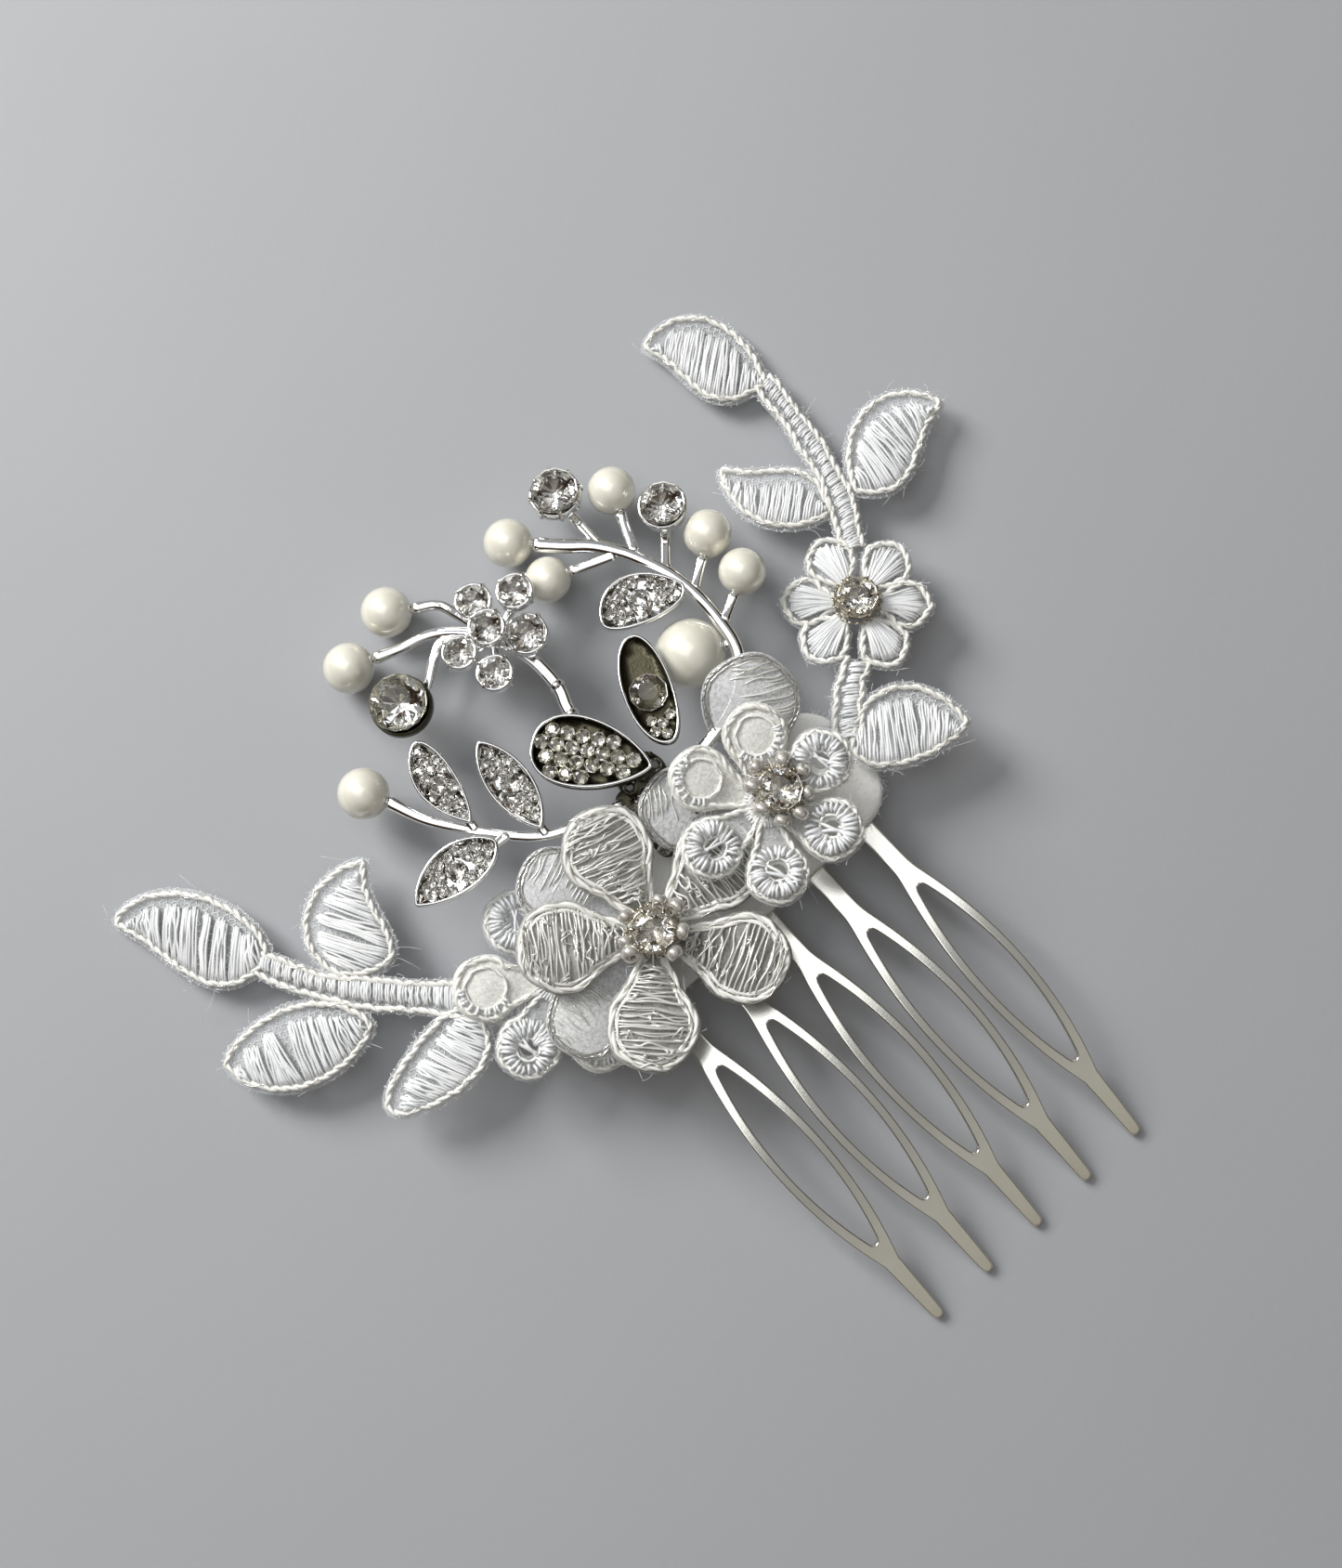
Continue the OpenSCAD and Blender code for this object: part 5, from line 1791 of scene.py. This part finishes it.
@dataclass(frozen=True)
class LeafSetting:
    """A cast leaf tray with a stone in its middle and small stones round it."""

    name: str
    leaf: Leaf
    height: float
    middle: Point | None
    middle_d: float
    finish: Finish = SILVER
    depth: float = 1.3
    small_d: float = 1.25
    foil: Finish = FOIL
    seed: int = 51
    bare: float = 0.0

    def tray(self) -> None:
        """The tray: floor, wall and rounded rim, as one plate with a stepped edge."""
        profile = [(0.42, 0.45), (0.4, self.depth - 0.12), (0.33, self.depth), (0.12, self.depth),
                   (0.0, self.depth - 0.15), (0.05, 0.3), (0.35, 0.0)]
        points, faces = plate([self.leaf.loop(0.35)], profile, 1.0)
        low = BRANCH.moved(0, 0, self.height)
        shape = Shape().add(low.place(points), faces)
        loop = inset(self.leaf.loop(0.35), 0.2)
        bead = with_height(loop, self.depth + self.height)
        shape.add(*sweep(BRANCH.place(bead)[None], 0.2, 8, BRANCH.axes[2], closed=True), mark=1)
        show(f"{self.name}_tray", shape, [self.finish, SILVER], [f"{self.name}_setting"])

    def places(self) -> Array:
        """Where the small stones sit: corners of a grid that clear the rim, large stone and bare tip."""
        loop = self.leaf.loop(0.35)
        axis = unit(np.subtract(self.leaf.tip, self.leaf.base))
        low, high = loop.min(axis=0), loop.max(axis=0)
        reach = float(np.linalg.norm(high - low))
        pitch = self.small_d + 0.04
        u, v = np.meshgrid(np.arange(-reach, reach, pitch), np.arange(-reach, reach, pitch * 0.87))
        u[1::2] += pitch / 2
        centre = np.array(self.middle if self.middle else (low + high) / 2)
        grid = centre + np.stack([u.ravel(), v.ravel()], 1) @ np.array([axis, [-axis[1], axis[0]]])
        grid = grid[inside(grid, [loop])]
        grid = grid[distance(grid, loop) > self.small_d / 2 + 0.12]
        grid = grid[(np.array(self.leaf.tip) - grid) @ axis > self.bare]
        if self.middle:
            grid = grid[np.linalg.norm(grid - centre, axis=1) > (self.middle_d + self.small_d) / 2 - 0.05]
        return grid

    def build(self) -> None:
        """Makes the tray, the stones and the beads of metal that hold them."""
        self.tray()
        gems = Gems(np.random.default_rng(self.seed))
        top = self.height + self.depth
        if self.middle:
            gems.add(BRANCH.moved(*self.middle, top - 0.05), self.middle_d, 10)
        beads = Shape()
        small = self.places()
        for x, y in small:
            gems.add(BRANCH.moved(x, y, top - 0.25), self.small_d, 7, 10)
            for turn in (0.6, 2.7, 4.8):
                out = self.small_d * 0.55
                at = BRANCH.moved(x + out * math.cos(turn), y + out * math.sin(turn), top - 0.2)
                bead = [(0, -0.16), (0.14, -0.1), (0.19, 0.02), (0.13, 0.14), (0, 0.19)]
                beads.add(*revolve(bead, 8, at))
        gems.show(f"{self.name}_pave", [f"{self.name}_stones"], self.foil)
        show(f"{self.name}_beads", beads, self.finish)


LEAF_SETTINGS = (
    LeafSetting("arc_leaf",
                Leaf((18.2, 13.2), (8.1, 15.9), Edge(2.3, 0.42, 0.85), Edge(4.1, 0.58, 1.4)),
                0.9, (13.2, 15.2), 2.7, seed=51),
    LeafSetting("marquise",
                Leaf((4.8, -0.1), (9.5, 12.6), Edge(3.25, 0.47, 1.0), Edge(2.6, 0.54, 0.95)),
                1.5, (6.7, 6.1), 4.2, ANTIQUE, foil=WARM_FOIL, seed=58, bare=4.4),
    LeafSetting("teardrop",
                Leaf((1.4, -0.6), (-6.8, 10.9), Edge(4.2, 0.64, 1.15), Edge(4.2, 0.64, 1.15)),
                1.0, None, 0.0, ANTIQUE, 1.6, 1.75, SMOKY_FOIL, 53),
    LeafSetting("upper_leaf",
                Leaf((-17.9, 8.6), (-16.8, 20.3), Edge(2.85, 0.56, 1.7), Edge(1.95, 0.59, 1.1)),
                0.8, (-17.9, 14.5), 2.2, seed=54),
    LeafSetting("middle_leaf",
                Leaf((-12.4, 2.7), (-11.2, 15.3), Edge(2.45, 0.53, 1.6), Edge(2.65, 0.49, 1.5)),
                0.8, (-11.7, 9.0), 2.3, seed=55),
    LeafSetting("lower_leaf",
                Leaf((-17.0, 5.2), (-28.6, 5.6), Edge(2.6, 0.41, 1.45), Edge(3.3, 0.49, 1.5)),
                0.8, (-22.6, 5.7), 2.3, seed=56),
)


@dataclass(frozen=True)
class CupSetting:
    """A cup with prongs that holds one stone."""

    plane: Plane
    d: float
    prongs: int
    height: float = 2.0
    wall: float = 0.35
    prong: float = 0.22

    def metal(self, shape: Shape) -> None:
        """Adds the cup and its prongs to a shape."""
        r, h = self.d / 2, self.height
        inner = r - self.wall
        profile = [(0, 0), (0.6 * r, 0), (0.9 * r, 0.12 * h), (r, 0.35 * h), (r, h - 0.12),
                   (r - 0.1, h), (inner + 0.08, h), (inner, h - 0.1), (inner, 0.45 * h),
                   (0.5 * r, 0.25 * h), (0, 0.25 * h)]
        shape.add(*revolve(profile, 40, self.plane))
        if not self.prongs:
            return
        turn = np.arange(self.prongs) / self.prongs * TAU + 0.3
        out = np.array([1.02, 1.03, 1.0, 0.86, 0.72]) * r
        up = np.array([0.5, 0.9, 1.12, 1.24, 1.27]) * h
        paths = with_height(rays(turn)[:, None] * out[:, None], np.broadcast_to(up, (self.prongs, 5)))
        width = self.prong * np.array([1.1, 1.0, 1.0, 0.9, 0.5])
        lean = self.plane.axes[2] + (0.01, 0.02, 0)
        shape.add(*sweep(self.plane.place(paths), width[None, :, None], 8, lean))

    def stone(self, gems: Gems, count: int) -> None:
        """Adds the stone, seated just under the rim."""
        d = self.d - 2 * self.wall - 0.1
        seat = max(self.height - 0.15, 0.42 + 0.44 * d)
        gems.add(self.plane.moved(0, 0, seat), d, count)


@dataclass(frozen=True)
class Settings:
    """All the cups on twigs, the floret, the knot and the flowers' jewels."""

    ring: tuple[tuple[float, float, float], ...] = (
        (3.4, 25.8, 4.4), (1.1, 20.9, 5.0), (-4.6, 19.9, 4.4), (-6.0, 24.6, 4.2), (-0.9, 28.2, 4.4),
    )
    seed: int = 61

    def single(
        self, name: str, cup: CupSetting, nodes: Sequence[str], metal: Finish, count: int = 12,
        foil: Finish = FOIL,
    ) -> None:
        """One cup with its stone."""
        shape, gems = Shape(), Gems(np.random.default_rng(self.seed + len(name)))
        cup.metal(shape)
        cup.stone(gems, count)
        show(f"{name}_cup_metal", shape, metal, nodes[:1])
        gems.show(f"{name}_gem", nodes[1:], foil)

    def floret(self) -> None:
        """Five cups round a raised sixth."""
        shape, gems = Shape(), Gems(np.random.default_rng(self.seed))
        cups = [CupSetting(BRANCH.moved(x, y, 1.0), d, 4, prong=0.2) for x, y, d in self.ring]
        cups.append(CupSetting(BRANCH.moved(-1.9, 23.9, 3.1), 4.4, 4, prong=0.2))
        for cup in cups:
            cup.metal(shape)
            cup.stone(gems, 10)
        show("floret_metal", shape, SILVER, ["floret_cups"])
        gems.show("floret_gem", ["floret_stones"], FOIL)

    def knot(self) -> None:
        """The knot: a boss with a ring of stones and metal balls, and a tongue with rows of them."""
        low, high = node_box("knot_setting")
        plane = LEVEL.moved(0, 18)
        floor, top = low[2], high[2]
        boss = [(0, floor), (2.7, floor), (3.0, floor + 0.3), (2.8, top), (1.2, top + 0.35), (0, top + 0.4)]
        shape = Shape().add(*revolve(boss, 36, plane))
        tongue = round_rect(np.array([-4.4, 9.0]), np.array([2.0, 18.4]), 1.2, 0.4)
        shape.add(*plate([tongue], [(0.15, 8.8), (0, 8.7), (0, 8.5), (0.1, 8.42)]))
        gems = Gems(np.random.default_rng(self.seed))
        for k in range(20):
            spot = LEVEL.moved(-3.6 + 1.55 * (k % 4) + 0.4 * (k // 4 % 2), 10.2 + 1.45 * (k // 4), 9.2)
            gems.add(spot, 1.45, 7, 14)
            bead = [(0, -0.4), (0.2, -0.2), (0.24, 0.05), (0.16, 0.22), (0, 0.28)]
            shape.add(*revolve(bead, 8, spot.moved(0.75, 0.7)))
        for k in range(6):
            a = k * TAU / 6
            gems.add(plane.moved(1.9 * math.cos(a), 1.9 * math.sin(a), top + 0.45), 1.5, 7, 12)
            ball = plane.moved(2.6 * math.cos(a + 0.5), 2.6 * math.sin(a + 0.5), top + 0.1)
            shape.add(*revolve([(0, -0.4), (0.35, -0.2), (0.4, 0.05), (0.28, 0.32), (0, 0.42)], 12, ball))
        gems.add(plane.moved(0, 0, top + 0.75), 1.6, 8)
        show("knot_metal", shape, ANTIQUE, ["knot_setting"])
        gems.show("knot_gem", ["knot_stones"], WARM_FOIL)

    def jewel(self, side: str, beads: int) -> None:
        """The jewel of a flower: cup, stone, wire coil and seed beads with a thread through them.

        Args:
            side: the start of its nodes' names.
            beads: how many seed beads lie round it, or 0.
        """
        low, high = node_box(f"{side}_jewel_cup")
        middle = (low + high) / 2
        base = RIGHT_SPRAY if side == "spray" else LEVEL
        plane = Plane((middle[0], middle[1], low[2]), base.x, base.y)
        d = 4.8 if side == "spray" else 5.2
        self.single(f"{side}_jewel", CupSetting(plane, d, 6, wall=0.22, prong=0.24),
                    [f"{side}_jewel_cup", f"{side}_jewel_stone"], GILT, 10, WARM_FOIL)
        rng = np.random.default_rng(self.seed + beads)
        turn = np.linspace(0, TAU, 120, endpoint=False)
        reach = d / 2 + 0.35 + 0.16 * np.cos(turn * 20)
        coil = with_height(reach[:, None] * rays(turn), 0.45 + 0.25 * np.sin(turn * 20))
        wire = Shape().add(*sweep(plane.place(coil)[None], 0.11, 6, plane.axes[2], closed=True))
        show(f"{side}_jewel_wire", wire, GILT)
        if not beads:
            return
        shape = Shape()
        half = [(0.6, -0.62), (0.88, -0.3), (0.92, 0), (0.88, 0.3), (0.6, 0.62)]
        bead = np.array([(0.25, -0.5), *half, (0.25, 0.5), (0.25, -0.5)])
        reach = 3.25 + rng.normal(0, 0.2, beads)
        place = (np.arange(beads) + rng.normal(0, 0.2, beads)) / beads * TAU
        for x, y in reach[:, None] * rays(place):
            lean = facing(plane.place(np.array([x, y, 1.7])), rng.normal(0, 1, 3) * (1, 1, 0.4))
            shape.add(*revolve(bead * rng.uniform(0.9, 1.35), 14, lean))
        show(f"{side}_seed_beads_glass", shape, BEAD, [f"{side}_seed_beads"])
        out = np.arange(beads * 2) / (beads * 2) * TAU + 0.4
        s = np.linspace(0, 1, 10)[None]
        reach = 1.6 + s * (2.3 + rng.random((beads * 2, 1)) * 1.0)
        fall = np.broadcast_to(2.6 * (1 - s) + 0.5 * np.sin(math.pi * s) - 0.4 * s, reach.shape)
        paths = with_height(reach[..., None] * rays(out)[:, None], fall)
        sewing = Shape().add(*sweep(plane.place(paths), 0.055, 4, plane.axes[2] + (0.02, 0.01, 0)))
        show(f"{side}_sewing_thread", sewing, SATIN)

    def build(self) -> None:
        """Makes all the settings."""
        self.single("twig_1", CupSetting(BRANCH.moved(14.7, 32.0), 6.1, 8),
                    ["twig_cup_1", "twig_stone_1"], SILVER)
        self.single("twig_2", CupSetting(BRANCH.moved(22.8, 22.1), 5.8, 0),
                    ["twig_cup_2", "twig_stone_2"], SILVER)
        self.single("star", CupSetting(BRANCH.moved(-15.0, 24.7, 0.2), 7.2, 0),
                    ["star_cup", "star_stone"], ANTIQUE, 14, SMOKY_FOIL)
        self.floret()
        self.knot()
        self.jewel("right", 8)
        self.jewel("left", 7)
        self.jewel("spray", 0)


# ---- Stage ----


@dataclass(frozen=True)
class Studio:
    """Camera, lights, sky and table top."""

    camera_at: tuple[float, float, float] = (-12.67, -0.97, 215.5)
    looks_at: tuple[float, float, float] = (2.45, 15.90, 0.0)
    lens: float = 42.29
    sensor: float = 36.0
    lamps_look_at: tuple[float, float, float] = (0, 5, 4)
    sky_strength: float = 0.32
    table_half: float = 600.0
    table_lines: int = 25
    table_z: float = -0.06

    def camera(self) -> None:
        """The camera above the comb."""
        data = bpy.data.cameras.new("camera")
        data.lens, data.sensor_width = self.lens, self.sensor
        data.clip_start, data.clip_end = 0.01, 50.0
        camera = bpy.data.objects.new("camera", data)
        bpy.context.scene.collection.objects.link(camera)
        self.aim(camera, self.camera_at, self.looks_at)
        bpy.context.scene.camera = camera

    @staticmethod
    def aim(piece: bpy.types.Object, at: Sequence[float], target: Sequence[float]) -> None:
        """Places an object, in millimetres, so that it looks at a target."""
        place, goal = np.array(at), np.array(target)
        z = unit(place - goal)
        x = unit(np.cross((0.0, 0.0, 1.0), z))
        pose = np.eye(4)
        pose[:3, :3] = np.stack([x, np.cross(z, x), z], axis=1)
        pose[:3, 3] = place * MM
        piece.matrix_world = Matrix(pose.tolist())

    def lamp(self, name: str, at: Sequence[float], size: float, power: float, colour: Colour) -> None:
        """A square soft lamp that points at the comb."""
        data = bpy.data.lights.new(name, "AREA")
        data.size, data.energy, data.color = size * MM, power, colour
        lamp = bpy.data.objects.new(name, data)
        bpy.context.scene.collection.objects.link(lamp)
        self.aim(lamp, at, self.lamps_look_at)

    def sky(self) -> None:
        """A soft studio surround: bright above and on one side, dark and warm low on the other.

        Its shade follows 0.5 + 0.25 y + 0.27 z of the direction, less 2.6 times the part of |x|
        above 0.42, so that both ends of the studio are dark.
        """
        world = bpy.data.worlds.new("studio")
        world.use_nodes = True
        bpy.context.scene.world = world
        g = Graph(world.node_tree)
        where = g.add("TexCoord").outputs["Generated"]
        x, y, z = g.add("SeparateXYZ", {0: where}).outputs
        high = g.math("MULTIPLY_ADD", z, 0.27, 0.5)
        side = g.math("MULTIPLY_ADD", y, 0.25, high)
        past = g.math("MAXIMUM", g.math("ADD", g.math("ABSOLUTE", x), -0.42), 0.0)
        shade = g.math("MULTIPLY_ADD", past, -2.6, side)
        stops = ((0.0, (0.10, 0.06, 0.04)), (0.32, (0.34, 0.20, 0.13)), (0.43, (1.2, 1.15, 1.0)),
                 (0.56, (1.3, 1.28, 1.2)), (0.66, (0.88, 0.88, 0.86)), (1.0, (1.1, 1.13, 1.2)))
        background = world.node_tree.nodes["Background"]
        g.feed(background, {"Strength": self.sky_strength, "Color": g.ramp(shade, stops)})

    def table(self) -> None:
        """The table top: a wide flat sheet just under the comb's lowest point."""
        line = np.linspace(-self.table_half, self.table_half, self.table_lines)
        flat = with_height(np.stack(np.meshgrid(line, line), axis=-1).reshape(-1, 2), self.table_z)
        faces = grid_quads(self.table_lines, self.table_lines, False, False)
        mesh = Shape().add(flat, faces).mesh("table_top", False)
        mesh.materials.append(FLOOR.material())
        table = bpy.data.objects.new("table_top", mesh)
        bpy.context.scene.collection.objects.link(table)

    def build(self) -> None:
        """Makes the stage."""
        self.camera()
        self.lamp("window", (-110, 540, 380), 280, 4.6, (1.0, 0.99, 0.97))
        self.lamp("ceiling", (-60, 180, 560), 420, 0.7, (0.96, 0.98, 1.0))
        self.sky()
        bpy.context.scene.view_settings.view_transform = "Standard"
        self.table()


def main() -> None:
    """Builds every piece."""
    logging.basicConfig(level=logging.INFO, format="%(name)s: %(message)s")
    Studio().build()
    MetalComb().build()
    Pads().build()
    Branches().build()
    for setting in LEAF_SETTINGS:
        setting.build()
    for pearl in PEARLS:
        pearl.build()
    Settings().build()
    UpperSpray().build()
    LeftSpray().build()
    for flower in FLOWERS:
        flower.build()


if __name__ == "__main__":
    main()
